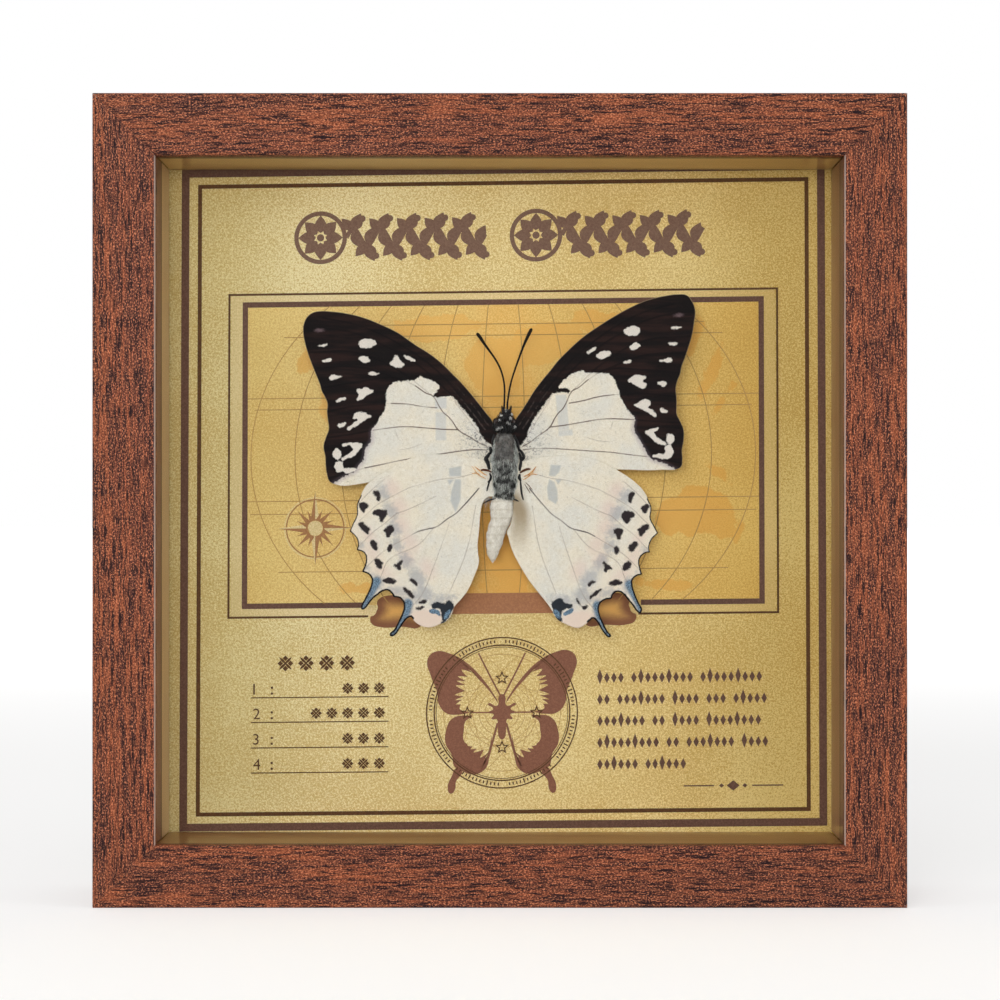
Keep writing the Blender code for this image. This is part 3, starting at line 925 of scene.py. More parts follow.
def land_tint(bench, colour):
    """Orange where the land field, broken up by two scales of noise, is below zero."""
    coast = bench.noise(0.16, detail=6.0, rough=0.62)
    shift = bench.scaled_sum(coast, 6.0, bench.calc("SUBTRACT", bench.field("land"), 3.0))
    tint = bench.noise(0.09, detail=2.0)
    land = bench.mix(tint, (238, 178, 88), (250, 206, 120))
    shown = bench.step(shift, 0.25, -0.25, 0.0, 0.72)
    # Painted shade: an orange wash round the butterfly's body, with a ragged edge.
    drift = bench.scaled_sum(bench.calc("SUBTRACT", coast, 0.5), 9.0, bench.field("painted_body_shade"))
    warm = bench.wash(colour, drift, 12.0, -3.0, (244, 184, 90), 0.72)
    return bench.mix(shown, warm, land)


map_gold = pearl("map_gold", (230, 192, 114), (255, 230, 156), sparkle=0.4, warm=land_tint)
print_marks(
    "print_map_ground", [ground_shape], 0.02, map_gold,
    {
        "land": lambda flat: ellipse_distance(flat, LANDS),
        "painted_body_shade": lambda flat: ellipse_distance(flat, ((0.3, 92.0, 4.0, 20.0, 0),)),
    },
)

# %% [markdown]
# The lines of the globe are printed over the land. The meridians are half ellipses that grow wider
# from the middle outwards, and the parallels are level lines. They share one thin width.

# %% Meridians and parallels
GLOBE = (0.0, 101.7)
GLOBE_HEIGHT = 48.0
MERIDIANS = (5.0, 15.2, 26.5, 37.6, 48.2, 58.4)
PARALLELS = (
    (75.1, 52.0), (88.5, 58.6), (91.5, 59.3), (112.7, 57.5), (115.3, 59.3), (129.4, 50.8), (132.0, 46.5)
)
LINE = 0.22
map_lines = []
for reach in MERIDIANS:
    for side in (-1, 1):
        height = np.linspace(WINDOW_LOW + 0.5, WINDOW_HIGH - 0.5, 60)
        bulge = reach * np.sqrt(1 - ((height - GLOBE[1]) / GLOBE_HEIGHT) ** 2)
        map_lines.append(ribbon(np.column_stack([side * bulge, height]), LINE))
map_lines += [ribbon([(-end, height), (end, height)], LINE) for height, end in PARALLELS]
print_marks("print_map_lines", map_lines, 0.04, line_ink)

# %% [markdown]
# ### The plaque under the window
#
# A flat ribbon-like plaque interrupts the window's lower border. It is brown at its ends and its
# lobes, and fades to orange inside, so its ink reads a distance stored on the mesh.

# %% Plaque
LOBE = knots("""
    2.6 68.8 4.2 69.4 8 69.4 12 69 12.6 65 12 62.2 8 62.2 2.6 62.2 0.8 63 0.5 64.4 1.4 65.4 2.2 66.6 2
    67.8""")


def lobe_outline(side):
    """The outline of the lobe at one end of the plaque."""
    points = [(side * (PLAQUE_SIDE - 0.6 - x), y) for x, y in LOBE]
    return smooth_path(points, steps=8)


def plaque_tone(flat):
    """How deep a point lies inside its lobe, zero outside the lobes."""
    depth = np.minimum(*(signed_distance(flat, lobe_outline(side)) for side in (-1, 1)))
    return np.maximum(-depth, 0.0)


bench = Bench("plaque_ink", roughness=0.5, metallic=0.3)
grain = bench.noise(2.4, detail=2.0, rough=0.8)
soft = bench.scaled_sum(grain, 0.8, bench.field("tone"))
plaque_colour = bench.mix(bench.step(soft, 1.0, 4.2), (150, 100, 70), (244, 190, 108))
plaque_ink = bench.finish(plaque_colour, grain, 0.01 * MM)
lobes = [filled(lobe_outline(side), 0.7) for side in (-1, 1)]
print_marks("print_plaque_lobes", lobes, 0.035, plaque_ink, {"tone": plaque_tone})
print_marks("print_plaque_bar", [ribbon([(-18.0, 67.4), (18.0, 67.4)], 4.8)], 0.065, bar_ink)

# %% [markdown]
# ### The compass rose
#
# A ring, a small hub and sixteen rays in three lengths. Each ray is a kite cut in half: the half on
# one side is inked and the other left bare, which is how engravers make a flat star look folded.

# %% Compass rose
ROSE = np.array((-43.5, 85.2))
HUB = 1.8
RAY_SIZES = ((8.6, 1.05), (4.7, 0.6), (6.0, 0.75), (4.7, 0.6))


def ray(centre, degrees, base, tip, half_width, side):
    """Half a kite: from the hub out to the tip, and one shoulder to one side of its axis."""
    turn = math.radians(degrees)
    out = np.array((math.cos(turn), math.sin(turn)))
    across = np.array((-out[1], out[0])) * side
    points = [centre + out * base, centre + out * tip, centre + out * base * 1.15 + across * half_width]
    return np.array(points), np.array([(0, 1, 2)])


rose = [ring(ROSE, 6.64, 0.28), ring(ROSE, 1.95, 0.34)]
for number in range(16):
    length, width = RAY_SIZES[number % 4]
    rose.append(ray(ROSE, 22.5 * number, HUB, length, width, 1))
    if number % 4:
        rose.append(ray(ROSE, 22.5 * number, HUB, length * 0.86, width * 0.5, -1))
print_marks("print_compass_rose", rose, 0.07, rose_ink)
rose_pale = [ring(ROSE, 7.05, 0.22), dot(ROSE, 1.72, steps=28)]
rose_pale += [ray(ROSE, 90.0 * number, HUB, 8.6, 0.9, -1) for number in range(4)]
print_marks("print_compass_light", rose_pale, 0.06, cream_gold)

# %% [markdown]
# ### The title's place
#
# The sheet had a heading here. Lettering isn't repeated: its place holds a plain ornament of the
# same weight, two vine sprays that each start with a rosette. The stem is a sine wave, and the
# leaves are pointed ovals set alternately above and below it.

# %% Vine sprays
HEADING = 152.4


def leaf(foot, degrees, length, width):
    """A pointed oval: half its width times sin(pi t) to each side of its axis, t from foot to tip."""
    share = np.linspace(0.0, 1.0, 9)
    out = np.array((math.cos(math.radians(degrees)), math.sin(math.radians(degrees))))
    across = np.array((-out[1], out[0]))
    axis = np.asarray(foot) + share[:, None] * length * out
    swell = (np.sin(math.pi * share**0.8) * width / 2)[:, None] * across
    return filled(np.vstack([axis + swell, (axis - swell)[-2:0:-1]]))


def rosette(centre, radius):
    """Eight leaves about a dot, in a ring."""
    petals = [leaf(polar(centre, radius * 0.2, turn), turn, radius * 0.72, radius * 0.5)
              for turn in range(0, 360, 45)]
    return petals + [ring(centre, radius, 1.0), dot(centre, radius * 0.15)]


def spray(start, end, height):
    """A waving stem with leaves at its crests, and berries between them."""
    x = np.linspace(start, end, 120)
    wave = 6.4
    turn = (x - start) * 2 * math.pi / wave
    marks = [ribbon(np.column_stack([x, height + 1.9 * np.sin(turn)]), 1.05)]
    for number in range(int((end - start) * 2 / wave)):
        crest = start + wave * (0.25 + number / 2)
        side = 1 if number % 2 == 0 else -1
        foot = (crest, height + 1.7 * side)
        marks.append(leaf(foot, side * 66, 4.2, 2.9))
        marks.append(leaf((crest - 0.3, foot[1]), side * 132, 3.6, 2.3))
        marks.append(leaf((crest - 0.2, height + 1.4 * side), side * -62, 4.4, 2.6))
        marks.append(dot((crest + 2.1, height + side * 4.3), 0.75))
    return marks


title = rosette(np.array((-42.4, HEADING)), 5.6) + spray(-36.4, -4.2, HEADING)
title += rosette(np.array((7.6, HEADING)), 5.6) + spray(13.6, 46.4, HEADING)
print_marks("print_heading_ornament", title, 0.06, title_ink)

# %% [markdown]
# ### The two small blocks
#
# At the lower left is a ruled table of four rows, and at the lower right a block of short lines.
# The words aren't repeated. The table keeps its rules, plain row numbers, and small four-petal
# ornaments where entries stood.


# %% Table with plain numbers
def digit(text, left, foot, height):
    """A plain numeral from Blender's own font, made a flat mesh and set to a height."""
    curve = bpy.data.curves.new("digit", "FONT")
    curve.body = text
    curve.resolution_u = 4
    holder = bpy.data.objects.new("digit", curve)
    mesh = bpy.data.meshes.new_from_object(holder)
    mesh.calc_loop_triangles()
    points = np.array([vertex.co[:2] for vertex in mesh.vertices])
    faces = np.array([triangle.vertices[:] for triangle in mesh.loop_triangles])
    bpy.data.objects.remove(holder)
    bpy.data.curves.remove(curve)
    bpy.data.meshes.remove(mesh)
    size = height / (points[:, 1].max() - points[:, 1].min())
    return (points - points.min(0)) * size + (left, foot), faces


def quatrefoil(centre, radius):
    """Four small diamonds about a dot."""
    marks = [diamond(polar(centre, radius * 0.62, turn), radius * 0.34, radius * 0.34)
             for turn in range(0, 360, 90)]
    return marks + [dot(centre, radius * 0.17, steps=8)] + [
        leaf(centre, turn, radius * 1.1, radius * 0.3) for turn in range(45, 360, 90)
    ]


TABLE_LEFT, TABLE_RIGHT = -58.2, -26.5
TABLE_ROWS = ((46.1, 3), (40.4, 5), (34.5, 3), (28.7, 3))
table = []
for number in range(4):
    table += quatrefoil(np.array((-50.3 + number * 4.75, 54.0)), 1.9)
for number, (rule, entries) in enumerate(TABLE_ROWS):
    table.append(ribbon([(TABLE_LEFT, rule), (TABLE_RIGHT, rule)], 0.24))
    table.append(digit(str(number + 1), -57.7, rule + 0.75, 2.5))
    table += [dot((-53.4, rule + 0.95 + gap), 0.3, steps=8) for gap in (0.0, 1.35)]
    for entry in range(entries):
        table += quatrefoil(np.array((-28.6 - entry * 3.65, rule + 2.0)), 1.4)
print_marks("print_table", table, 0.06, dark_ink)

# %% [markdown]
# The block at the lower right becomes rows of small lozenges in word-length groups, some a little
# taller, so that from a distance it has the rhythm of the lines it stands for. A rule with three
# lozenges closes it.

# %% Rows of lozenges
PITCH = 1.62
ROW_GAP = 5.0
FIRST_ROW = 48.8
ROW_START = 22.3
LAST_RULE = 24.8
ROW_WORDS = ((4, 9, 9), (2, 7, 4, 3, 5), (7, 2, 4, 8), (9, 2, 7, 4), (6, 6))
lozenges = []
for number, words in enumerate(ROW_WORDS):
    foot = FIRST_ROW - ROW_GAP * number
    place = ROW_START
    for length in words:
        for letter in range(length):
            lift = 0.55 if (letter * 7 + length) % 4 == 0 else 0.0
            lozenges.append(diamond((place, foot + 1.15 + lift / 2), 0.64, 1.25 + lift))
            place += PITCH
        place += PITCH * 0.85
for start, end in ((41.6, 48.6), (57.4, 64.5)):
    lozenges.append(ribbon([(start, LAST_RULE), (end, LAST_RULE)], 0.3))
for across, half_width, half_height in ((53.0, 1.5, 1.2), (50.3, 0.6, 0.5), (55.7, 0.6, 0.5)):
    lozenges.append(diamond((across, LAST_RULE), half_width, half_height))
print_marks("print_rows", lozenges, 0.06, brown_ink)

# %% [markdown]
# ### The round emblem
#
# Rings, a star figure and a dark butterfly. The ring's band carries plain graduation marks, as on a
# dial. The butterfly is a generic one: each wing is the band between an outer and an inner curve,
# and the inner curve has teeth from a triangle wave.

# %% Emblem
EMBLEM = np.array((-0.3, 42.1))
TICK_RADIUS = 16.5
CHORD_RADIUS = 13.5
STAR_RADIUS = 8.0


def star(centre, radius):
    """A five-pointed outline whose inner corners lie at 0.45 of the radius."""
    corner = np.arange(10)
    turn = np.radians(90 + corner * 36.0)
    reach = np.where(corner % 2 == 0, radius, radius * 0.45)
    return np.asarray(centre) + np.column_stack([reach * np.cos(turn), reach * np.sin(turn)])


rings = [ring(EMBLEM, 17.4, 0.28), ring(EMBLEM, 15.65, 0.28), ring(EMBLEM, 15.2, 0.14)]
for number in range(120):
    if number % 15 not in (0, 14):
        half = 0.55 if number % 5 == 0 else 0.34
        tick = [polar(EMBLEM, TICK_RADIUS + end, 3 * number + 3) for end in (-half, half)]
        rings.append(ribbon(tick, 0.3))
for number in range(4):
    spot = polar(EMBLEM, STAR_RADIUS, 90 * number)
    rings.append(ribbon(star(spot, 1.35), 0.26, closed=True))
print_marks("print_emblem_rings", rings, 0.12, dark_ink)
fine_rings = [ring(EMBLEM, radius, 0.12) for radius in (CHORD_RADIUS, STAR_RADIUS, 5.3, 3.9)]
for number in range(12):
    ends = [polar(EMBLEM, CHORD_RADIUS, turn) for turn in (30 * number + 15, 30 * number + 135)]
    fine_rings.append(ribbon(ends, 0.09))
print_marks("print_emblem_lines", fine_rings, 0.02, line_ink)

FORE_OUTER = knots("""
    -1.2 3.2 -3.9 7.2 -8 11.5 -12 13.8 -15.6 14.2 -17.2 12.4 -16.4 8.6 -15 5 -14.6 2.2 -12.8 0 -9.6 -0.3
    -7.4 0.1""")
FORE_INNER = knots("""
    -0.9 2.2 -2.8 4.9 -5.3 7.7 -8.2 10.3 -10 9.6 -10.6 7.8 -10.9 6 -11 4.2 -10.9 2.6 -10.2 1.2 -8.8 0.5
    -7.4 0.2""")
HIND_OUTER = knots("""
    -6.9 -0.5 -11.4 -1.2 -12.9 -4 -13 -7 -11.6 -9.6 -10.9 -12.4 -9.2 -13.4 -6.6 -14.2 -4.6 -13.6 -3.3
    -12 -3 -9.4 -1.1 -2.9""")
HIND_INNER = knots("""
    -6.9 -0.9 -8.4 -1.9 -8.8 -4 -8.9 -6 -7.9 -7.6 -7 -8.9 -5.9 -9.9 -5 -10.5 -4.1 -10.6 -3.5 -10.4 -3.1
    -9 -1.1 -2.6""")
EMBLEM_TAIL = knots("10.3 -12.6 11.6 -14.6 12.5 -17 11.9 -18.6 10.9 -17.8 10.6 -15.8 9.2 -13.3")
EMBLEM_FEELER = knots("0.4 4 2.8 8.6 5.4 13.8")
BAND_STEPS = 120
HALF_TRUNK = knots("""
    0 4.3 0.8 3.6 0.8 2.2 1.2 1.6 3.2 2.1 2 0.9 3 0.1 1.9 -0.4 2.4 -1.4 1.2 -1.5 1 -2.6 0.9 -4.6 0.7 -5.6
    0 -6.2""")


def toothed_band(outer, inner, teeth, depth, side):
    """A strip between two curves; the inner one's teeth are a triangle wave that grows mid-way."""
    share = np.linspace(0.0, 1.0, BAND_STEPS + 1)
    curves = []
    for path in (outer, inner):
        fine = smooth_path(path, closed=False)
        curves.append(points_at(fine, share * walked_along(fine)[-1]))
    wave = (np.abs((share * teeth + 0.25 * np.sin(share * 31)) % 1.0 - 0.5) * 2) ** 1.1
    grow = np.clip((share - 0.32) * 6, 0.0, 1.0) * np.clip((0.92 - share) * 8, 0.0, 1.0)
    toward = curves[0] - curves[1]
    toward /= np.maximum(np.hypot(*toward.T), 1e-6)[:, None]
    curves[1] = curves[1] - toward * (wave * grow * depth)[:, None]
    points = np.concatenate(curves) * (side, 1.0)
    return points + EMBLEM, as_triangles(grid_faces(2, BAND_STEPS + 1))


silhouette = []
for side in (-1, 1):
    silhouette.append(toothed_band(FORE_OUTER, FORE_INNER, 17, 2.6, -side))
    silhouette.append(toothed_band(HIND_OUTER, HIND_INNER, 16, 2.4, -side))
    silhouette.append(ribbon([EMBLEM + (side * 1.0, -2.4), EMBLEM + (side * 3.2, -10.4)], 0.5))
    silhouette.append(patch(EMBLEM + EMBLEM_TAIL * (side, 1)))
    silhouette.append(ribbon(smooth_path(EMBLEM + EMBLEM_FEELER * (side, 1), closed=False), 0.36))
    silhouette.append(ribbon([EMBLEM + (side * 1.6, 0.1), EMBLEM + (side * 7.4, 0.1)], 0.3))
trunk = np.vstack([HALF_TRUNK, HALF_TRUNK[-2:0:-1] * (-1, 1)])
silhouette.append(patch(EMBLEM + trunk))
print_marks("print_emblem_butterfly", silhouette, 0.07, bronze_ink)

# %% [markdown]
# ## The wings
#
# A wing is a dry membrane about a tenth of a millimetre thick, stiffened by veins and pleated
# slightly between them. It is made as a height over a flat grid of points trimmed to the wing's
# outline, so the scallops and tails keep crisp edges, and a Solidify modifier gives the membrane its
# back. The left and the right wing each have their own outline and markings, and each is swung about
# its root as it was pinned.

# %% Wing outlines, in millimetres out from the root and up from it
BODY = (1.0, 1.0, 99.3)
FORE_ROOT = (3.8, -0.8, 4.6)
HIND_ROOT = (3.5, -1.4, -2.3)
FORE_CAMBER = 0.5
HIND_CAMBER = 0.25
FORE_SWING = {"left": 0.0, "right": 5.3}
HIND_SWING = {"left": 0.0, "right": -1.5}

FOREWING = {
    "left": knots("""
        -2.2 1 -1.1 4.1 0.5 6.2 1.9 8 4 10.6 6 12.9 8 14.9 10 16.9 12 18.6 14 20 16 21.2 18 22.6 20 24
        22 25.1 24 26 28 27.6 32 28.6 36 29.1 38 29.15 39.8 28.8 41 27.9 41.8 26.3 42 24.5 41.6 22 41
        19.8 40 17 39 14.5 38.2 12.5 37.8 11 37.1 9.7 36.5 8.1 36.6 6.2 36.4 4.4 36.2 2.3 36.8 0.6 37.4
        -1.6 37 -4 36.9 -6 36.6 -8 36 -9.6 34.8 -10.2 33 -10.6 30 -10.3 27 -9.8 24 -9.3 8 -7.4 1 -6.4
        -2.2 -5"""),
    "right": knots("""
        -2.2 1 -1.1 4.3 0.6 6.4 2 8.2 4 10.8 6 13 8 15 10 17.1 12 18.8 16 21.8 20 24.1 24 26.1 28 27.8
        32 29 36 29.5 38.5 29.55 40.6 29.1 41.6 27.6 42.1 25.6 41.6 22.8 40.9 20 39.8 17.3 38.8 15 37.9
        13.2 37.4 11.5 36.6 9.9 36.1 8.2 36.1 6 35.9 4 35.8 2.5 36.4 0.8 37 -1.2 36.8 -3.6 36.2 -6 36.1
        -8 35.6 -9.6 34.3 -10.1 31.5 -9.9 28 -9.7 24 -9.2 8 -7.4 1 -6.4 -2.2 -5"""),
}
HIND_BASE = "-2.4 0.4  0.3 1.8  4 2.8  10.5 3.5  16.5 3  22.5 0.3  "
HINDWING = {
    "left": knots(HIND_BASE + """
        27.2 -2.8 28.6 -4.6 29.4 -6.4 30 -7.8 30.1 -10.3 31 -12.3 31.7 -14 30.3 -15.3 29.8 -16.6 29.9
        -17.6 30.1 -18.3 29 -18.6 28.3 -19.1 28 -20 28.1 -21.2 28.9 -23.2 27.3 -23.9 26.7 -24.9 26.8 -26
        27.4 -27.6 28.3 -29.4 29.1 -31.2 28.9 -31.8 28.2 -31.6 27.3 -30.5 26.4 -29.4 25.2 -28.4 24 -27.6
        23 -27.5 22.2 -28.1 21.7 -29 20.4 -29.2 19.7 -29.9 19.4 -31 19.7 -32.4 20.4 -34 21.5 -36.2 22.6
        -37.6 22.2 -37.9 21.4 -37.6 20.2 -36 19.2 -34.5 18.2 -33.6 17.7 -33.5 17 -34.4 16 -35.2 14.4
        -35.8 12.6 -35.7 11.3 -35.1 10.6 -34.9 9.8 -34.5 8.6 -33 7.9 -31.2 6.5 -29.6 5 -27.7 3.3 -24 2.3
        -21 2.5 -19 2.6 -17 2.4 -15 2.2 -13 2.1 -11 1.9 -9.5 1.6 -7.9 1 -6.8 0.2 -6.2 -2.5 -6 -2.8 -2"""),
    "right": knots(HIND_BASE + """
        27 -2.8 28.6 -4.6 29.5 -6.4 30.1 -7.8 30 -10.2 30.9 -12 31.8 -13.6 30.4 -15.1 29.9 -16.4 29.9
        -17.4 30.1 -18 28.9 -18.3 28 -19.1 27.7 -20.4 28 -21.8 28.4 -23.1 27 -23.6 26.3 -24.4 26.3 -25.6
        26.9 -27.5 27.8 -29.5 28.6 -31.2 28.1 -31.9 27.3 -31.4 26.4 -30.2 25.2 -28.8 24.2 -27.7 23.2
        -27.2 22.2 -27.5 21.8 -28.1 21.6 -28.7 20.3 -29 19.2 -29.8 18.8 -31 19.1 -32.6 19.9 -34.4 20.9
        -36.2 21.7 -37.3 21.2 -37.6 20.3 -36.9 19.2 -35.4 18.4 -34.1 17.9 -33.6 17.5 -33.4 16.8 -33.9
        15.8 -34.8 14.2 -35.6 12.8 -35.4 11.4 -34.8 10.4 -34.4 9.2 -33.6 8 -31.6 6.8 -30 5 -27.9 2.5
        -24.8 0.4 -21.5 -0.8 -19.4 -1.6 -17.5 -2.2 -15.5 -2.6 -14.2 -2 -13 -1.5 -11 -1.3 -9 -1.2 -7 -0.9
        -6.3 -2.5 -6 -2.8 -2"""),
}
HINDWING_CORNERS = {"left": (12, 16, 21, 36, 49), "right": (12, 16, 21, 37, 50)}
INKED_START = 8

# %% [markdown]
# ### Where the markings lie
#
# Markings are described in the wing's own millimetres. A spot is a closed curve through a few
# points, a soft cloud is an ellipse, and a vein is an open path.

# %% Forewing markings
PATCH_FOOT = " 36 -11.5 20 -14 -4 -10 -0.9 -1.5 "
PALE_PATCH = {
    "left": knots("""
        8.3 9.8 9.3 9.75 10.4 9.6 11.3 9.5 12.2 9.7 12.5 10.1 11.9 10.5 11.4 11.2 11.05 12 11.4 12.5
        12.2 13.1 13.2 13.6 14.2 14 15.2 14.35 15.8 14.1 16.4 13.7 17.2 13.4 18.3 13.3 19.5 13.2 20.8
        13.2 21.8 12.7 22.6 11.9 23 11 23.2 10.1 23.2 9 23.1 8.2 23.4 7 24.1 5.6 24.9 4.3 25.6 3.2 26.3
        2.4 26.6 1.4 26.5 0.3 27 -0.9 27.9 -2.2 28.1 -3.6 28.6 -5 29.6 -6.2 30.2 -7.2 31.6 -7.9 33 -8.6
        34.2 -9.4 35 -9.9""" + PATCH_FOOT + "0 -0.8 1 0.3 1.9 1.9 2.6 3.3 3.8 4.8 5.3 6.6 6.9 8.4 7.6 9.4"),
    "right": knots("""
        7.9 9.6 8.8 9.85 9.9 9.85 10.9 9.7 12 9.8 11.9 10.3 11.2 10.7 10.2 10.8 9.6 11.1 10.2 11.8 11
        12.6 12 13.3 13.2 13.9 14.2 14.2 15.2 14.2 16 13.8 17.2 13.6 18.6 13.4 20 13.3 21.2 13 22 12.2
        22.5 11.2 22.8 10 23.2 8.9 23.4 7.6 23.9 6.2 24.6 4.8 25.2 3.8 26 2.9 26.2 1.9 25.9 0.8 25.8
        -0.4 26.4 -1.6 27 -3 27.6 -4.4 28.2 -5.6 28.8 -6.8 30.4 -7.8 32 -8.5 33.4 -9.4 34.2
        -9.9""" + PATCH_FOOT + "0.3 -0.9 1.2 0.4 1.9 1.9 2.8 3.6 4.2 5.4 5.8 7.2 7 8.6"),
}
FORE_SPOTS = {
    "left": outlines("""
        25.3 21.9 26.1 22.6 27.3 22.85 28.5 22.8 29.2 22.2 29.5 21.6 29 21 28 20.7 27 20.8 26.2 21.1
        25.6 21.4 / 26.9 18.1 27.5 18.8 28.2 19.1 28.9 18.8 29.5 18.4 28.9 17.8 28.1 17.4 27.5 17.4 27
        17.7 / 24.6 15 25.4 15.2 26.2 15.5 26.9 15.3 27.2 15.1 26.6 14.7 25.9 14.5 25.2 14.7 / 18.9 17
        19.6 17.6 20.1 18.2 20.4 18.9 20.9 19.2 21.3 18.9 21.6 18.1 22 17.6 22.4 17.3 22 16.8 21 16.5
        20.2 16.2 19.5 16.4 / 16.5 17.9 17 18.4 17.9 18.9 18.7 19.1 19.1 19.2 18.8 18.5 18 18.1 17.2
        17.8 / 36.4 21.6 37.2 21.7 38 21.5 38.7 21.35 38.1 21.05 37.3 21.1 36.7 21.3 / 35.7 18.3 36.2
        18.4 36.9 18.1 37.7 17.9 37.4 17.6 36.6 17.5 35.9 17.7 / 33.2 14.4 34.1 14.5 35 14.7 35.7 14.5
        36 13.8 35.6 13.5 34.7 13.7 33.9 14 / 26 10.9 26.8 11.4 27.4 11.8 28.3 11.8 28.9 11.4 29.3 11.6
        29.8 11.1 29.6 10.5 29.4 10.1 29.7 9.5 29.9 8.9 29.2 8.95 28.4 9.3 27.6 10 26.8 10.4 / 32.2 9.5
        32.9 9.6 33.6 9.4 34.1 9.2 34.5 8.6 33.9 8.5 33.3 8.8 32.6 8.9 / 26.5 5.3 27.3 5.7 28.1 6.1 29.2
        6.2 30 6 30.5 5.4 30.7 4.9 30.3 4.6 29.7 4.5 30.4 4 31.2 3.2 32 2.5 31.8 2 31.2 2.2 30.4 2.8
        29.4 3.4 28.4 4.1 27.6 4.6 26.9 4.9 / 32.4 3.9 33.1 3.7 33.8 3.6 34.1 3.1 33.8 2.7 33.2 2.7 32.6
        3.2 / 28.6 -1.1 29.4 -0.75 30.4 -0.7 31.4 -0.75 32.4 -0.9 33.2 -1.2 33 -1.7 32.2 -1.5 31.4 -1.4
        30.9 -1.9 30.6 -2.2 31.3 -3 32 -3.5 32.8 -4 33.4 -4.4 33 -4.8 32.2 -4.5 31.2 -4.1 30.4 -3.8 29.8
        -3.1 29.2 -2.3 28.7 -1.8 / 33.4 -2.9 33.9 -2.2 34.5 -2 35 -2.6 35.2 -3.6 34.8 -4.4 34.2 -4.8
        33.8 -4.4 33.4 -3.8 / 33 -5.3 33.7 -4.9 34.5 -5.2 34.9 -6.2 34.6 -7.1 33.9 -7.5 33 -7.3 32.2
        -7.8 31.2 -7.5 30.2 -7.2 29.6 -6.8 30.3 -6.5 31.3 -6.4 32.3 -6.6 32.9 -6.4"""),
    "right": outlines("""
        25.4 22.3 25.9 22.9 26.9 23.2 28.2 23.3 29 22.9 29.3 22.3 29 21.7 28.4 21.2 27.2 21.1 26.4 21.2
        25.9 21.7 / 26.5 18.6 27 19.2 27.8 19.5 28.5 19.4 29 18.8 28.4 18.2 27.7 17.9 27 17.9 26.7 18.2
        / 24.8 15.2 25.5 15.6 26.2 15.8 26.8 15.5 26.3 15.1 25.5 14.9 / 18.7 17.3 19.4 18 20.4 18.3 21.3
        18.3 22 17.9 22.1 17.5 21.4 17 20.5 16.6 19.8 16.5 19.1 16.9 / 16.6 18.1 17.2 18.7 18.1 19.2 19
        19.3 18.6 18.7 17.8 18.2 17.1 17.9 / 36.2 22.1 37.2 22.3 38 22.2 38.7 22 38 21.8 37 21.8 / 35.3
        18.7 36.1 18.8 36.8 18.7 37.4 18.5 36.9 18.1 36.1 18.1 35.6 18.4 / 33 14.9 33.9 15 34.8 15.3
        35.6 15.2 35.9 14.7 35.4 14.3 34.6 14.4 33.8 14.7 / 25.4 11 26.2 11.7 26.9 12.2 28 12.2 28.7
        11.9 29.3 11.8 29.7 11.4 29.1 11 28.8 10.6 29.3 10.2 29.5 9.6 29.1 9.1 28.4 9 27.6 9.4 26.9 10
        26.2 10.5 / 32 10.1 32.7 10.1 33.4 10.3 34.1 9.9 33.9 9.2 33.3 8.9 32.8 9.4 32.2 9.6 / 26.2 5.5
        27 5.7 27.8 6.2 28.8 6.5 29.7 6.2 30.2 5.6 29.9 5 29.3 4.8 30 4.2 30.8 3.4 31.2 2.6 30.9 2.3
        30.2 2.7 29.4 3.3 28.4 4 27.4 4.6 26.7 5 / 32 4 32.6 4.1 33.3 3.7 33.7 3.1 33.2 2.9 32.5 3.1
        32.1 3.6 / 28.2 -1 29.2 -0.5 30.3 -0.3 31.3 -0.2 31 -0.8 30.2 -1.3 30.6 -2 31.4 -2.9 32.2 -3.4
        32.8 -3.9 32.3 -4.2 31.2 -4 30.4 -3.5 29.7 -2.7 29 -1.9 28.4 -1.5 / 32.9 -2.9 33.2 -2 34 -1.9
        34.6 -2.3 34.7 -3.2 34.2 -4 33.6 -4.3 33 -3.7 / 32.6 -4.6 33.4 -4.4 33.9 -4.8 34.3 -6 33.9 -6.8
        33.2 -7.3 32.3 -7.5 31.3 -7.3 30.3 -7 29.4 -6.6 30.2 -6.3 31.2 -6.1 31.9 -6.3 32.4 -5.7 32.3
        -5.2"""),
}
FORE_FAINT = number_rows("""
    38.3 24.8 0.9 0.35 0""")
FORE_WINDOW = {
    "left": outlines("""
        9.5 -0.2 11.9 -0.2 11.9 6.2 9.5 6.2 / 9.4 7 12 7 12 9.5 9.4 9.5"""),
    "right": outlines("""
        8.7 1.2 11.1 1.2 11.1 9.3 8.7 9.3 / 8.6 -0.1 11.8 -0.1 11.8 1.2 8.6 1.2"""),
}
FORE_MAIN_VEINS = outlines("""
    0.2 -1.6 2 -0.8 4 0.5 6 1.6 7 2.5 8 4 9 5.2 10 6 11 7.4 12 9.2 12.7 10 14 10.5 15.5 11.5 16.5 12.2 /
    6.8 2.2 10 2.3 14 2.6 19 2.9 24 2.4 26 2.1 / 0.2 -2.4 3 -2.35 6 -2.6 10 -3.2 15 -4 20 -4.8 25 -5.9
    28 -6.5 / 11.6 7.2 15 7.5 18 8 22 8.2""")
FORE_FINE_VEINS = outlines("""
    15 -1 17.4 -1.9 20 -2.4 / 20.4 0.3 21.2 2.2 / 1.2 2 3 5 5 8 / 2 1.4 4.6 4.8 7.6 8.6 / 26 2.1 31 1.2
    36.6 0.4 / 22 8.2 30 7.6 36.4 6.4 / 28 -6.5 36 -8.8 / 16.5 12.2 20.5 14 29 13.2 37.4 11.8 / 20.5 14
    29 16.4 39 16.2 / 12.7 10 20.5 15.8 30 19.8 40.4 19.8 / 4 5 14 15.5 24 21.6 34 25 41 24.6 / 2.4 4.6
    10 14.2 19 21 29 25.8 37.5 27.6""")

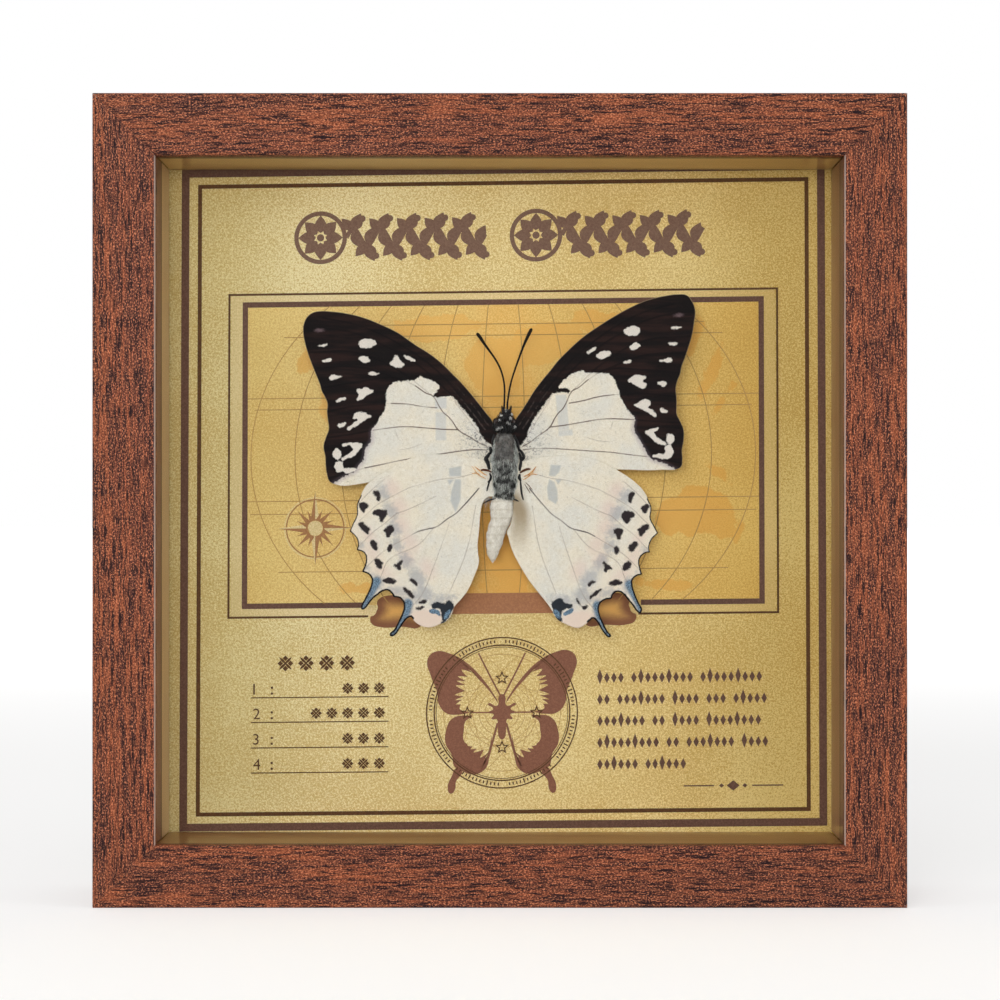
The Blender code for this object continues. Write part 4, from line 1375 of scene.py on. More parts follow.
# %% [markdown]
# The hindwing has more kinds of marking: two rows of dark spots, grey and pink clouds between them,
# a dark crescent and blue touches at the inner corner, and two tails. Each kind is a table of its
# own, so that its finish can give each a different edge.

# %% Hindwing markings
HIND_SPOTS = {
    "left": outlines("""
        24.7 -5.6 25.1 -4.9 25.9 -4.6 26.4 -5.1 26.1 -5.9 25.6 -6.3 25.5 -7 25 -7.2 24.8 -6.6 / 27.4
        -8.2 28 -7.5 29.1 -7.4 29.7 -7.9 29.3 -8.8 28.6 -9.8 28.2 -9.3 27.8 -8.9 / 23.2 -9.4 24.2 -9.1
        25.3 -9 26 -9.3 26.5 -10.1 25.9 -10.4 25.2 -10.7 24.9 -11.5 24.4 -12 23.9 -11.2 23.4 -10.5 / 27
        -13.4 27.6 -12.9 28.3 -12.4 28.9 -11.9 29.6 -12 29.7 -12.6 29.1 -13.6 28.3 -14.1 27.5 -14.7 27.3
        -14.1 / 21.6 -13.5 22.3 -12.6 23.1 -12.9 24 -13.9 23.5 -14.3 23.4 -15.3 22.8 -15.4 22.2 -14.5 /
        25.4 -17 25.9 -16.2 26.7 -15.9 27.1 -16.4 26.8 -17.3 26.2 -18.1 25.7 -18.4 25.4 -17.7 / 22 -17.3
        22.5 -16.9 23.1 -17.6 23.2 -18.4 22.6 -18.8 22.1 -18.2 / 19.7 -20.5 20.2 -20.8 20.9 -21.2 21.7
        -21.9 21 -22.3 20.5 -22.9 20.1 -22.7 20 -21.8 / 24.1 -21.1 24.8 -20.6 25.6 -20.1 26.1 -20.4 25.9
        -21.3 25.3 -22.3 24.5 -22.5 24.3 -21.9 / 21.1 -25.5 21.8 -24.8 22.7 -24.5 23.7 -24.8 24.3 -25.2
        23.7 -25.7 22.7 -25.9 21.7 -25.9 / 16.6 -25.4 17.3 -24.8 18.2 -25 17.6 -25.6 16.9 -26.1 16.4
        -26.6 16.2 -26.2 / 17 -29 17.3 -28.3 18 -27.6 18.8 -26.9 19.5 -26.7 19.4 -27.4 18.7 -28.2 17.9
        -28.9 17.3 -29.3 / 14.1 -29.6 15.2 -29.8 16 -30.2 15.4 -30.5 14.4 -30.3 / 14.8 -31 15.8 -31.2
        16.8 -31.4 16.2 -31.9 15.4 -31.7"""),
    "right": outlines("""
        24.7 -5.3 25.2 -4.5 25.8 -4.3 26.3 -4.8 26 -5.5 25.7 -6.1 25.6 -6.8 25 -6.7 24.8 -6 / 27.6 -8
        28.4 -7.4 29.1 -7.1 29.7 -7.7 29.2 -8.5 28.8 -9.2 28.1 -8.9 27.9 -8.4 / 23.3 -9.7 23.9 -8.8 25
        -8.7 26 -9 26.4 -9.8 25.6 -10.3 25.2 -11.2 24.7 -11.6 24 -11.2 23.5 -10.5 / 27.1 -13 27.7 -12.4
        28.4 -11.8 29.2 -11.6 29.8 -12 29.3 -12.9 28.6 -13.7 27.7 -14.4 27.4 -13.7 / 21.6 -13.2 22.4
        -12.7 23.3 -12.8 24 -13.6 23.4 -14.2 23.2 -15.1 22.7 -15.2 22.2 -14.4 / 25.1 -16.9 25.8 -16.1
        26.7 -15.5 27.3 -16 26.9 -17 26.3 -17.8 25.4 -17.9 25.2 -17.4 / 21.9 -17.1 22.5 -16.7 23.1 -17.5
        22.9 -18.3 22.3 -18.6 22 -18 / 19.5 -20.3 20.1 -20.7 20.9 -21.3 21.6 -22 20.7 -22.2 20.2 -22.8
        19.8 -22.6 19.7 -21.5 / 24 -21.3 24.5 -20.5 25.3 -20.1 25.9 -20.5 25.7 -21.4 25 -22.2 24.2 -22.4
        / 20.7 -25.4 21.5 -24.8 22.6 -24.4 23.6 -24.8 24 -25.1 23.3 -25.6 22.2 -25.8 21.2 -25.7 / 16.1
        -25.9 16.5 -25.1 17.2 -24.7 17.9 -25 17.1 -25.5 16.5 -26.1 / 16.6 -28.9 17 -28 17.8 -27.2 18.6
        -26.7 19.2 -26.6 18.9 -27.3 18.1 -28.1 17.3 -28.6 16.8 -29.1 / 13.6 -28.8 14.3 -29.8 15.2 -30.6
        16.2 -30.4 15.7 -31.4 14.8 -30.9 14 -30"""),
}
HIND_LUNULE = {
    "left": outlines("""
        8 -30.8 8.6 -30 9.5 -29.7 9.9 -30.4 10.6 -30.3 11.5 -30.1 12.6 -30.3 13.2 -31 12.6 -31.6 11.6
        -31.6 11 -32.1 10.9 -33.2 10.6 -34.2 10.9 -35 9.9 -34.5 8.9 -33.2 8.5 -32.2 8.1 -31.5"""),
    "right": outlines("""
        7.9 -30.3 8.7 -29.5 9.7 -29 10.5 -29.2 11 -30 12 -30.2 12.9 -30.6 12.2 -31.2 11.2 -31.4 10.6
        -31.9 10.3 -32.8 10.3 -34.5 9.4 -33.9 8.7 -32.6 8.3 -31.5"""),
}
HIND_BLUE = {
    "left": outlines("""
        11.3 -32.2 12.5 -31.7 13.6 -31.9 13.2 -32.7 12 -32.8 11.2 -33.3 / 8.7 -31.9 9.2 -31.9 10.3 -33.8
        10 -34 9.1 -32.9"""),
    "right": outlines("""
        10.7 -32.8 11.5 -31.8 13 -31.3 12.9 -32 11.9 -32.6 / 8.6 -31.6 9.1 -31.6 10.1 -33.5 9.7 -33.6"""),
}
HIND_GREY = number_rows("""
    24 -5.4 1.5 1.1 60 / 22.4 -9.3 1.9 1.2 50 / 21.6 -13.6 1.7 1.2 60 / 21 -16.9 1.6 1.1 60 / 19 -20.7
    1.8 1.2 60 / 16.2 -24.6 2.2 1.5 50 / 14.6 -28 2 1.4 50 / 10.6 -29.4 2.4 0.9 -10 / 25.4 -25.6 1.2 1.7
    -30 / 21 -27.6 2.6 0.8 8 / 18.6 -30.8 1.1 2.2 0 / 16.2 -28.8 1.4 1.2 40 / 29.2 -17.5 0.7 0.6 0 /
    28.3 -22.4 0.8 0.6 30""")
HIND_PINK = number_rows("""
    22 -4.2 1.8 1.4 60 / 20.4 -8.4 2 1.5 60 / 19.8 -12.5 2 1.4 60 / 18 -16.5 2.2 1.5 60 / 18.6 -19.6 1.8
    1.2 60 / 14 -22.4 2 1.4 60 / 27.2 -15.2 1.7 0.9 60 / 26.4 -19.2 1.6 0.9 60 / 24 -23.2 1.8 1 30 /
    14.2 -33.9 3.6 1.9 5""")
HIND_WINDOW = {
    "left": outlines("""
        6.3 0.8 9.1 0.3 9 -1.5 6.4 -1.5 / 8 -2.2 9.5 -2.3 9 -3.5 / 6.4 -2.2 7.7 -2.2 8.6 -5 8.8 -7 7.6
        -9.8 6.5 -6.5"""),
    "right": outlines("""
        6.6 -1.2 7 1.3 9.3 1.2 8.9 -0.4 8 -1.3 / 8 -1.9 9.6 -1.9 8.8 -3.1 / 6.7 -2 7.9 -2.6 8.6 -4.4 8.8
        -6.6 8.4 -7.6 6.6 -6.6 6.3 -4"""),
}
HIND_MAIN_VEINS = outlines("""
    2.3 -4.2 4 -6.2 6 -8.4 7.5 -9.9 9.5 -11.2 12 -13 14 -13.5 16 -14 17.4 -14.7""")
HIND_FINE_VEINS = outlines("""
    23.6 -2 26 -4 28 -5.9 29.6 -7.6 / 18 -4 20 -5 22 -6 24 -7.1 26 -8.4 28 -10.3 29.5 -11.6 / 21 -9.9 24
    -12.4 26.5 -14.3 28.4 -16.2 29.8 -17.6 / 17.4 -14.7 24 -18.6 28.6 -22.8 / 3.8 -1 7.3 -1.8 11 -2.2 18
    -4 / 12 -6 19.1 -9.3 21 -9.9 / 12.4 -13 16 -17 22.9 -20.6 24.5 -24 26.7 -27.8 28.6 -31.2 / 9 -12
    12.6 -22 15.4 -28.6 18 -31.6 22.3 -37.4 / 3 -8 5 -18 9 -28""")
TAIL_AXES = outlines("""
    25.6 -25.4 27 -28 27.9 -29.6 28.7 -31.4 / 18.4 -30.4 19.2 -33 20.4 -35 21.9 -37.3""")

# %% [markdown]
# ### From markings to a mesh
#
# One function makes any wing. It fills the outline with points about a quarter of a millimetre
# apart, measures each marking's distance at every point, shapes the height, and places the sheet by
# the body. The height has three parts: a slow camber, a ridge along every vein, and a shallow
# pleat that follows the distance from the veins.

# %% Wing sheet
WING_SPACING = 0.24
MEMBRANE = 0.1
VEIN_RIDGE = 0.07
PLEAT = 0.10


def vein_distance(points, veins):
    """Distance to the nearest of several open paths."""
    paths = [smooth_path(vein, closed=False, steps=5) for vein in veins]
    return np.minimum.reduce([distance_to(points, path) for path in paths])


def wing_height(points, gap, camber):
    """Towards the viewer: camber x share of the span squared, ridges on veins, pleats between them."""
    ridge = VEIN_RIDGE * np.exp(-((gap / 0.22) ** 2))
    pleat = PLEAT * np.tanh(gap / 1.6) * np.cos(points[:, 1] * 0.55 + points[:, 0] * 0.12)
    span = np.hypot(*points.T) / 40.0
    return camber * span**2 + ridge + pleat


def wing(kind, side, outline, margin=None):
    """Fills, measures, shapes and places one wing."""
    label, root, swing, camber, material, measure = kind
    name = f"scaled_{label}_{side}"
    flat, faces = filled(even_steps(outline, WING_SPACING), WING_SPACING)
    fields = measure(flat, side, margin)
    height = wing_height(flat, np.minimum(fields["vein"], fields["fine_vein"]), camber)
    fields["rim"] = distance_to(flat, outline, True)
    fields["out"], fields["up"] = flat.T
    sign = -1.0 if side == "left" else 1.0
    turn = math.radians(swing[side])
    out, up = sign * flat[:, 0], flat[:, 1]
    x = out * math.cos(turn) - sign * up * math.sin(turn)
    z = sign * out * math.sin(turn) + up * math.cos(turn)
    place = np.column_stack([
        BODY[0] + sign * root[0] + x,
        np.full(len(x), BODY[1] + root[1]) - height,
        BODY[2] + root[2] + z,
    ])
    if side == "left":
        faces = faces[:, ::-1]
    mesh = make_mesh(name, place * MM, faces, fields)
    piece = settle(name, mesh, material, "wing_membrane", f"{label}_{side}")
    thicken(piece, "Membrane", MEMBRANE)
    print(name, len(faces) * 2, "triangles")


# %% [markdown]
# ### Wing colours
#
# Wing colour is thousands of tiny scales. Up close every edge between two colours is ragged, because
# scales of both kinds mix there. So each distance is disturbed by a fine noise before it is
# turned into a mask, more where the real edge is woolly, less where it is crisp.


# %% Scaled wing finishes
def scaled_edge(bench, name, ragged, low, high, scale=2.6):
    """A mask that is 1 where the field is below zero, with an edge broken up by a ragged amount."""
    mess = bench.noise(scale, detail=5.0, rough=0.7)
    moved = bench.scaled_sum(bench.calc("SUBTRACT", mess, 0.5), ragged, bench.field(name))
    return bench.step(moved, low, high)


def scale_rows(bench):
    """Fine mottling, about the size of the wing scales."""
    return bench.noise(4.5, detail=3.0, rough=0.75)


def membrane_base(bench, scales):
    """Cream with slow warm and cool drifts, fine scales and a few dark specks."""
    drift = bench.noise(0.11, detail=3.0)
    cream = bench.mix(bench.step(drift, 0.35, 0.65), (220, 217, 204), (233, 222, 196))
    cream = bench.wash(cream, scales, 0.28, 0.72, (246, 242, 231), 0.55)
    cream = bench.wash(cream, scales, 0.50, 0.22, (186, 178, 164), 0.35)
    coarse = bench.noise(1.5, detail=4.0, rough=0.75)
    cream = bench.wash(cream, coarse, 0.50, 0.68, (208, 198, 174), 0.5)
    cream = bench.wash(cream, coarse, 0.46, 0.30, (250, 246, 234), 0.5)
    specks = bench.noise(3.4, detail=1.0, rough=0.4)
    return bench.wash(cream, specks, 0.70, 0.77, (120, 114, 108), 0.45)


def vein_lines(bench, colour, name, tone, strength, width):
    """Draws the veins as thin lines, and lets them fade in and out along their length."""
    fade = bench.noise(0.2, detail=2.0)
    line = bench.step(bench.field(name), width, width * 0.35)
    shown = bench.step(fade, 0.25, 0.6, 0.35 * strength, strength)
    return bench.mix(bench.times(line, shown), colour, tone)


def forewing_finish():
    """Cream, with a dark border that carries pale spots."""
    bench = Bench("forewing_scales", roughness=0.65, specular=0.2)
    scales = scale_rows(bench)
    pale = membrane_base(bench, scales)
    pale = bench.wash(pale, "window", 0.25, -0.25, (190, 196, 200), 0.5)
    near = bench.step("root", 10.0, 1.0)
    pale = bench.mix(bench.times(near, 0.3), pale, (196, 198, 196))
    pale = vein_lines(bench, pale, "fine_vein", (150, 134, 120), 0.5, 0.16)
    pale = vein_lines(bench, pale, "vein", (104, 86, 74), 1.0, 0.20)
    base_dust = bench.noise(1.9, detail=4.0, rough=0.8)
    dust = bench.times(bench.step(base_dust, 0.50, 0.64), near)
    pale = bench.mix(dust, pale, (92, 92, 94))
    fringe = bench.step("patch", -1.3, -0.1)
    low = bench.times(bench.step("up", 4.5, 1.0), bench.step("out", 18.0, 23.0))
    pale = bench.mix(bench.times(fringe, low, 0.4), pale, (160, 146, 156))
    rows = bench.noise((0.05, 0.35, 0.42), detail=3.0, rough=0.6)
    dark = bench.mix(bench.step(rows, 0.42, 0.66), (20, 16, 16), (42, 27, 24))
    dark = bench.wash(dark, scales, 0.5, 0.9, (74, 58, 54), 0.3)
    dark = vein_lines(bench, dark, "fine_vein", (14, 12, 13), 0.7, 0.3)
    streak = bench.noise(0.9, detail=3.0)
    costa = bench.times(bench.step("costa", 0.24, 0.06), bench.step("root", 17.0, 5.0))
    dark = bench.mix(bench.times(costa, bench.step(streak, 0.42, 0.62, 0.0, 0.45)), dark, (104, 90, 84))
    mauve = bench.times(bench.step("patch", 0.9, 0.1), bench.times(low, 0.25))
    dark = bench.mix(mauve, dark, (104, 92, 102))
    colour = bench.mix(scaled_edge(bench, "patch", 1.5, 0.14, -0.14, 1.3), dark, pale)
    spots = scaled_edge(bench, "spots", 1.1, 0.12, -0.14, 1.3)
    spot_tone = bench.mix(scales, (200, 192, 180), (246, 240, 228))
    colour = bench.mix(spots, colour, spot_tone)
    faint = scaled_edge(bench, "faint", 0.9, 0.3, -0.3)
    colour = bench.mix(bench.times(faint, 0.45), colour, (150, 126, 130))
    colour = bench.wash(colour, "rim", 0.16, 0.02, (214, 190, 150), 0.5)
    return bench.finish(colour, scales, 0.02 * MM)


def hindwing_finish():
    """Cream, with two rows of dark spots, blue tails and a fine black line along the inked edge."""
    bench = Bench("hindwing_scales", roughness=0.65, specular=0.2)
    scales = scale_rows(bench)
    base = membrane_base(bench, scales)
    window = bench.step("window", 0.25, -0.25, 0.0, 0.7)
    window = bench.times(window, bench.step(scales, 0.3, 0.6, 0.6, 1.0))
    base = bench.mix(window, base, (168, 176, 180))
    base = bench.wash(base, "margin", 6.5, 0.5, (238, 222, 196), 0.5)
    base = bench.wash(base, "pink", 1.6, -1.2, (226, 202, 190), 0.55)
    woolly = scaled_edge(bench, "grey", 3.6, 1.0, -0.8, 1.2)
    base = bench.mix(bench.times(woolly, 0.55), base, (146, 150, 160))
    base = bench.wash(base, "lobe", 0.5, -0.5, (232, 212, 194), 0.9)
    base = vein_lines(bench, base, "fine_vein", (150, 134, 120), 0.6, 0.16)
    base = vein_lines(bench, base, "vein", (84, 76, 72), 1.0, 0.22)
    # Painted shade: olive brown in the trough of a fold beside the body, on the right hindwing.
    painted_fold_shade = bench.times(bench.step("painted_fold_shade", 3.2, 0.6), bench.step("up", -21.0, -9.0))
    base = bench.mix(bench.times(painted_fold_shade, 0.85), base, (150, 130, 98))
    blue = bench.mix(bench.step(scales, 0.35, 0.65), (40, 60, 80), (132, 162, 184))
    base = bench.mix(bench.step("tail", 1.5, 0.6, 0.0, 0.95), base, blue)
    black = (20, 19, 22)
    spots = scaled_edge(bench, "spots", 1.1, 0.2, -0.2, 1.4)
    base = bench.mix(spots, base, bench.mix(scales, black, (62, 52, 54)))
    lunule = scaled_edge(bench, "lunule", 1.1, 0.16, -0.16)
    base = bench.mix(lunule, base, bench.mix(scales, black, (56, 64, 72)))
    base = bench.mix(scaled_edge(bench, "blue", 0.5, 0.12, -0.12), base, blue)
    width = bench.step("margin_share", 0.10, 0.50, 0.22, 0.36)
    line = bench.calc("SUBTRACT", bench.field("rim"), width)
    line = bench.scaled_sum(bench.noise(2.0, detail=3.0), 0.3, line)
    edge = bench.times(bench.step(line, 0.28, 0.06), bench.step("margin", 0.9, 0.6))
    base = bench.mix(edge, base, black)
    return bench.finish(base, scales, 0.02 * MM)


def margin_share(points, path):
    """Where along the inked margin the nearest point lies, from 0 at its start to 1 at its end."""
    marks = path[::6]
    gaps = np.array([np.hypot(*(points - mark).T) for mark in marks])
    return gaps.argmin(0) / (len(marks) - 1)


# %% [markdown]
# ### The four wings
#
# Left and right differ only in their outline, their tables and their swing. On the right, olive
# brown painted shade marks a fold beside the body; the left wing has none, so its fold line lies far
# away. The hindwing's fine black line follows only the outer part of its outline, which is measured
# as a path of its own.

# %% Build the four wings
COSTA_STEPS = (0.9, 1.7, 2.6)
FAR_AWAY = "99 99 99 98"
FOLD = {
    "left": outlines(FAR_AWAY),
    "right": outlines("-1.3 -7 0 -9 0.4 -12 0.2 -15 0.4 -18 1.4 -21"),
}


def forewing_fields(flat, side, _):
    """Distances to the forewing's markings; costa is a fan of lines beside the leading edge."""
    costa = [np.round(FOREWING[side][1:12] + (step, -1.1 * step), 2) for step in COSTA_STEPS]
    return {
        "vein": vein_distance(flat, FORE_MAIN_VEINS),
        "fine_vein": vein_distance(flat, FORE_FINE_VEINS),
        "patch": shape_distance(flat, (PALE_PATCH[side],), reach=9.0),
        "spots": shape_distance(flat, FORE_SPOTS[side]),
        "faint": ellipse_distance(flat, FORE_FAINT),
        "window": shape_distance(flat, FORE_WINDOW[side], steps=0),
        "root": np.hypot(*flat.T),
        "costa": vein_distance(flat, costa),
    }


def hindwing_fields(flat, side, margin):
    """Distances to the hindwing's markings and to the inked part of its edge."""
    return {
        "vein": vein_distance(flat, HIND_MAIN_VEINS),
        "fine_vein": vein_distance(flat, HIND_FINE_VEINS),
        "spots": shape_distance(flat, HIND_SPOTS[side]),
        "lunule": shape_distance(flat, HIND_LUNULE[side]),
        "blue": shape_distance(flat, HIND_BLUE[side]),
        "grey": ellipse_distance(flat, HIND_GREY),
        "pink": ellipse_distance(flat, HIND_PINK),
        "lobe": ellipse_distance(flat, HIND_PINK[-1:]),
        "window": shape_distance(flat, HIND_WINDOW[side], steps=0),
        "tail": vein_distance(flat, TAIL_AXES),
        "margin": distance_to(flat, margin),
        "margin_share": margin_share(flat, margin),
        "painted_fold_shade": vein_distance(flat, FOLD[side]),
    }


FORE = ("forewing", FORE_ROOT, FORE_SWING, FORE_CAMBER, forewing_finish(), forewing_fields)
HIND = ("hindwing", HIND_ROOT, HIND_SWING, HIND_CAMBER, hindwing_finish(), hindwing_fields)
for side in ("left", "right"):
    wing(FORE, side, smooth_path(FOREWING[side], steps=6))
    corners = HINDWING_CORNERS[side]
    inked = HINDWING[side][INKED_START:corners[-1] + 1]
    margin = smooth_path(inked, [corner - INKED_START for corner in corners], False, steps=6)
    wing(HIND, side, smooth_path(HINDWING[side], corners, steps=6), margin)

# %% [markdown]
# ## The body
#
# Thorax, abdomen and head are round bodies: rings of points round a gently curved axis, with the
# radius and the ring's flattening read from a few sections. The abdomen's radius also waves
# slightly, once per segment. Hair then covers thorax and abdomen. Each hair is a thin three-sided
# spike in three steps, and all the hairs of one coat are a single mesh.


# %% Round bodies
def smooth_between(values, count):
    """Catmull-Rom interpolation of rows of numbers at equal steps."""
    values = np.asarray(values, float)
    padded = np.vstack([2 * values[0] - values[1], values, 2 * values[-1] - values[-2]])
    place = np.linspace(0, len(values) - 1, count)
    index = np.minimum(place.astype(int), len(values) - 2)
    t = (place - index)[:, None]
    before, here, there, after = (padded[index + shift] for shift in range(4))
    return 0.5 * (
        2 * here + (there - before) * t + (2 * before - 5 * here + 4 * there - after) * t**2
        + (3 * here - before - 3 * there + after) * t**3
    )


def closed_tube(around, first, last):
    """(rings, sides, 3) points as a skin that faces outwards, closed at its ends by two points."""
    rings, sides, _ = around.shape
    points = np.vstack([around.reshape(-1, 3), first, last])
    spoke = np.arange(sides)
    after = (spoke + 1) % sides
    foot = np.full(sides, rings * sides)
    end = (rings - 1) * sides
    wall = as_triangles(grid_faces(rings, sides, wrap=True))
    start_cap = np.column_stack([foot, after, spoke])
    end_cap = np.column_stack([foot + 1, spoke + end, after + end])
    faces = np.concatenate([wall, start_cap, end_cap])
    a, b, c = (points[faces[:, column]] for column in range(3))
    volume = (np.cross(a, b) * c).sum()
    return points, faces if volume > 0 else faces[:, ::-1]


def round_body(sections, rings=60, sides=36, wave=None):
    """Rings round an axis. A section is (sideways, up, forward, half width, half depth)."""
    rows = smooth_between(sections, rings)
    turn = np.linspace(0, 2 * math.pi, sides, endpoint=False)
    swell = np.ones(rings) if wave is None else wave(np.linspace(0, 1, rings))
    x = rows[:, 0, None] + rows[:, 3, None] * swell[:, None] * np.cos(turn)
    y = -rows[:, 2, None] + rows[:, 4, None] * swell[:, None] * np.sin(turn)
    z = np.broadcast_to(rows[:, 1, None], x.shape)
    axis = np.column_stack([rows[:, 0], -rows[:, 2], rows[:, 1]]) + BODY
    return closed_tube(np.stack([x, y, z], axis=-1) + BODY, axis[:1], axis[-1:])


# %% [markdown]
# The coat's roots are picked at random on the body, with a fixed seed. A hair starts along the
# surface's outward normal, then leans to the combing direction; the share of each sets how flat
# the fur lies.


# %% Hair
rng = np.random.default_rng(11)


def scatter(points, faces, count):
    """Random places on triangles, chosen by area, and the outward normals there."""
    a, b, c = (points[faces[:, column]] for column in range(3))
    normal = np.cross(b - a, c - a)
    area = np.linalg.norm(normal, axis=1)
    chosen = rng.choice(len(faces), count, p=area / area.sum())
    s, t = rng.random((2, count, 1))
    over = s + t > 1
    s, t = np.where(over, 1 - s, s), np.where(over, 1 - t, t)
    place = a[chosen] + (b - a)[chosen] * s + (c - a)[chosen] * t
    return place, normal[chosen] / area[chosen, None]


def hair_coat(places, normals, comb, length, thickness, lift):
    """Spikes of three steps: each runs up the normal by lift, and ever more along the comb."""
    count = len(places)
    comb = np.broadcast_to(comb, places.shape) + rng.normal(0, 0.28, places.shape)
    flat = comb - (comb * normals).sum(1, keepdims=True) * normals
    flat /= np.maximum(np.linalg.norm(flat, axis=1, keepdims=True), 1e-6)
    reach = length * rng.uniform(0.6, 1.15, (count, 1))
    share = np.array([0.0, 0.35, 0.7, 1.0])[:, None, None]
    rise = normals * lift * (share * (1 - 0.35 * share))
    run = flat * (share + share**2) / 2
    axis = places + (rise + run) * reach
    side = np.cross(normals, flat)
    turn = np.radians([90, 210, 330])[:, None, None, None]
    taper = np.array([1.0, 0.8, 0.5, 0.05])[:, None, None] * thickness / 2
    rings = axis + taper * (np.cos(turn) * side + np.sin(turn) * normals)
    points = rings.transpose(2, 1, 0, 3).reshape(-1, 3)
    tube = as_triangles(grid_faces(4, 3, wrap=True))[:, ::-1]
    tip = np.array([[9, 11, 10]])
    one = np.concatenate([tube, tip])
    faces = (one[None] + 12 * np.arange(count)[:, None, None]).reshape(-1, 3)
    return points, faces


# %% [markdown]
# A section is (sideways, up, forward, half width, half depth) in millimetres from the body's
# middle, so a table reads like measurements taken with callipers from the head down. The abdomen
# leans to the left, as the specimen's does, and thin rings mark where its segments meet.

# %% Body shapes
THORAX = number_rows("""
    0 6.6 0 0.9 0.9 / 0 6 0.1 1.7 1.5 / -0.05 5 0.3 2.15 2.1 / 0 3 0.5 2.55 2.5 / 0 1 0.6 2.9 2.8 / 0 -1
    0.6 3.05 2.8 / 0.05 -3 0.5 3 2.7 / 0.1 -5 0.4 2.95 2.4 / 0 -7 0.3 2.7 2.2 / -0.2 -8.6 0.1 2.3 1.9 /
    -0.3 -9.6 0 1.5 1.4 / -0.3 -10 0 0.5 0.5""")
ABDOMEN = number_rows("""
    -0.4 -8 0 0.8 0.8 / -0.5 -8.8 0 2.1 1.8 / -0.6 -11 0 2.6 2.3 / -0.6 -13 0.1 2.4 2.2 / -1.3 -15 0.1
    2.2 2.1 / -2 -17 0.1 2 1.9 / -2.3 -19 0.1 1.75 1.6 / -2.65 -21 0 1.3 1.2 / -2.7 -22.4 0 0.75 0.7 /
    -2.7 -23.3 0 0.12 0.12""")
RING_PITCH = 1.9


def ringed(bench, colour):
    """Darker rings every RING_PITCH of height, where the abdomen's segments meet."""
    wave = bench.calc("SINE", bench.times(bench.along("Z"), 2 * math.pi / RING_PITCH))
    patchy = bench.noise(0.7, detail=3.0)
    shown = bench.times(bench.step(wave, 0.45, 1.0), bench.step(patchy, 0.35, 0.6, 0.0, 0.4))
    return bench.mix(shown, colour, (196, 186, 164))


def skin(name, dark, light, roughness, scale, specular=0.4, rings=False):
    """A chitin skin: two tones mottled at one scale, with a fine bump."""
    bench = Bench(name, roughness=roughness, specular=specular)
    mottle = bench.noise(scale, detail=4.0, rough=0.7)
    colour = bench.mix(bench.step(mottle, 0.35, 0.7), dark, light)
    return bench.finish(ringed(bench, colour) if rings else colour, mottle, 0.05 * MM)


def fur(name, dark, light, rings=False):
    """Hair whose tone changes from lock to lock."""
    bench = Bench(name, roughness=0.55, specular=0.35)
    locks = bench.noise((1.3, 1.3, 0.5), detail=3.0, rough=0.7)
    colour = bench.mix(bench.step(locks, 0.34, 0.66), dark, light)
    return bench.finish(ringed(bench, colour) if rings else colour)


thorax_shape = round_body(THORAX)
thorax_chitin = skin("thorax_chitin", (62, 62, 60), (136, 136, 132), 0.5, 0.9)
solid("thorax_skin", thorax_shape, thorax_chitin, "grey_fur", "thorax")


def segments(share):
    """The abdomen swells and pinches slightly eight times along its length."""
    return 0.99 + 0.06 * np.abs(np.sin(share * math.pi * 8))


abdomen_shape = round_body(ABDOMEN, rings=110, wave=segments)
abdomen_chitin = skin("abdomen_chitin", (216, 210, 194), (250, 246, 234), 0.6, 0.8, rings=True)
solid("abdomen_skin", abdomen_shape, abdomen_chitin, "pale_fur", "abdomen")

# %% [markdown]
# The thorax wears three coats: brownish down above, silver down below, and short black hair in
# blotches between. Each area is a rule on a root's place, so no hair has to be painted on by hand.

# %% Coats of hair
DOWN = np.array((0.0, 0.0, -1.0))


def coat(name, shape, count, area, comb, length, thickness, lift, material, slot):
    """Scatters roots, keeps those in an area, and makes the coat's mesh."""
    places, normals = scatter(*shape, count)
    chosen = area(places - BODY)
    hairs = hair_coat(places[chosen], normals[chosen], comb, length, thickness, lift)
    print(name, solid(name, hairs, material, slot), "triangles")


dusk_hair = fur("thorax_hair_dusk", (84, 78, 74), (148, 138, 130))
silver_hair = fur("thorax_hair_silver", (146, 152, 146), (232, 236, 228))
dark_hair = fur("thorax_hair_dark", (14, 15, 16), (56, 58, 58))
pale_hair = fur("abdomen_hair", (236, 233, 224), (255, 254, 250))
ringed_hair = fur("abdomen_coat_hair", (230, 226, 214), (255, 253, 246), rings=True)
BLOTCHES = number_rows("""
    0.4 -1.2 0.7 0.4 20 / -1 -2 0.8 0.5 -20 / 0.9 -2.4 0.9 0.5 10 / -0.2 -3 0.9 0.4 0 / 0 -4.6 1.9 0.6 4
    / -1.2 -4.2 0.6 0.6 0 / 1.9 -5.6 0.5 1 -20 / -2 -5.6 0.4 0.9 30 / 0.2 -7.2 0.9 0.4 20 / -1.4 -7.9 1
    0.4 -5 / 1.4 -7.8 0.9 0.4 25 / 0.4 -9 1.6 0.4 5 / -1.8 -9 1.4 0.35 12 / 2.4 -9.2 0.8 0.35 -12 / -0.4
    -9.9 1.4 0.3 0""")


def blotched(places):
    """True for roots inside the dark blotches of the thorax."""
    return ellipse_distance(places[:, [0, 2]], BLOTCHES) < 0.0


def dusk_area(p):
    """The thorax's upper middle, down to a wavy line."""
    return (p[:, 2] > -1.0 + 0.8 * np.sin(p[:, 0] * 5.0)) & (np.abs(p[:, 0]) < 2.2) & (p[:, 1] < 0.2)


def silver_area(p):
    """The thorax's lower part and its sides, except for the blotches."""
    return ((p[:, 2] < 0.2) | (np.abs(p[:, 0]) > 2.0)) & ~blotched(p) & (p[:, 1] < 0.6)


def dark_area(p):
    """The blotches, and all of the side turned away."""
    return (blotched(p) & (p[:, 1] < 0.3)) | (p[:, 1] > 0.3)


def whole(p):
    """Every root."""
    return np.ones(len(p), bool)


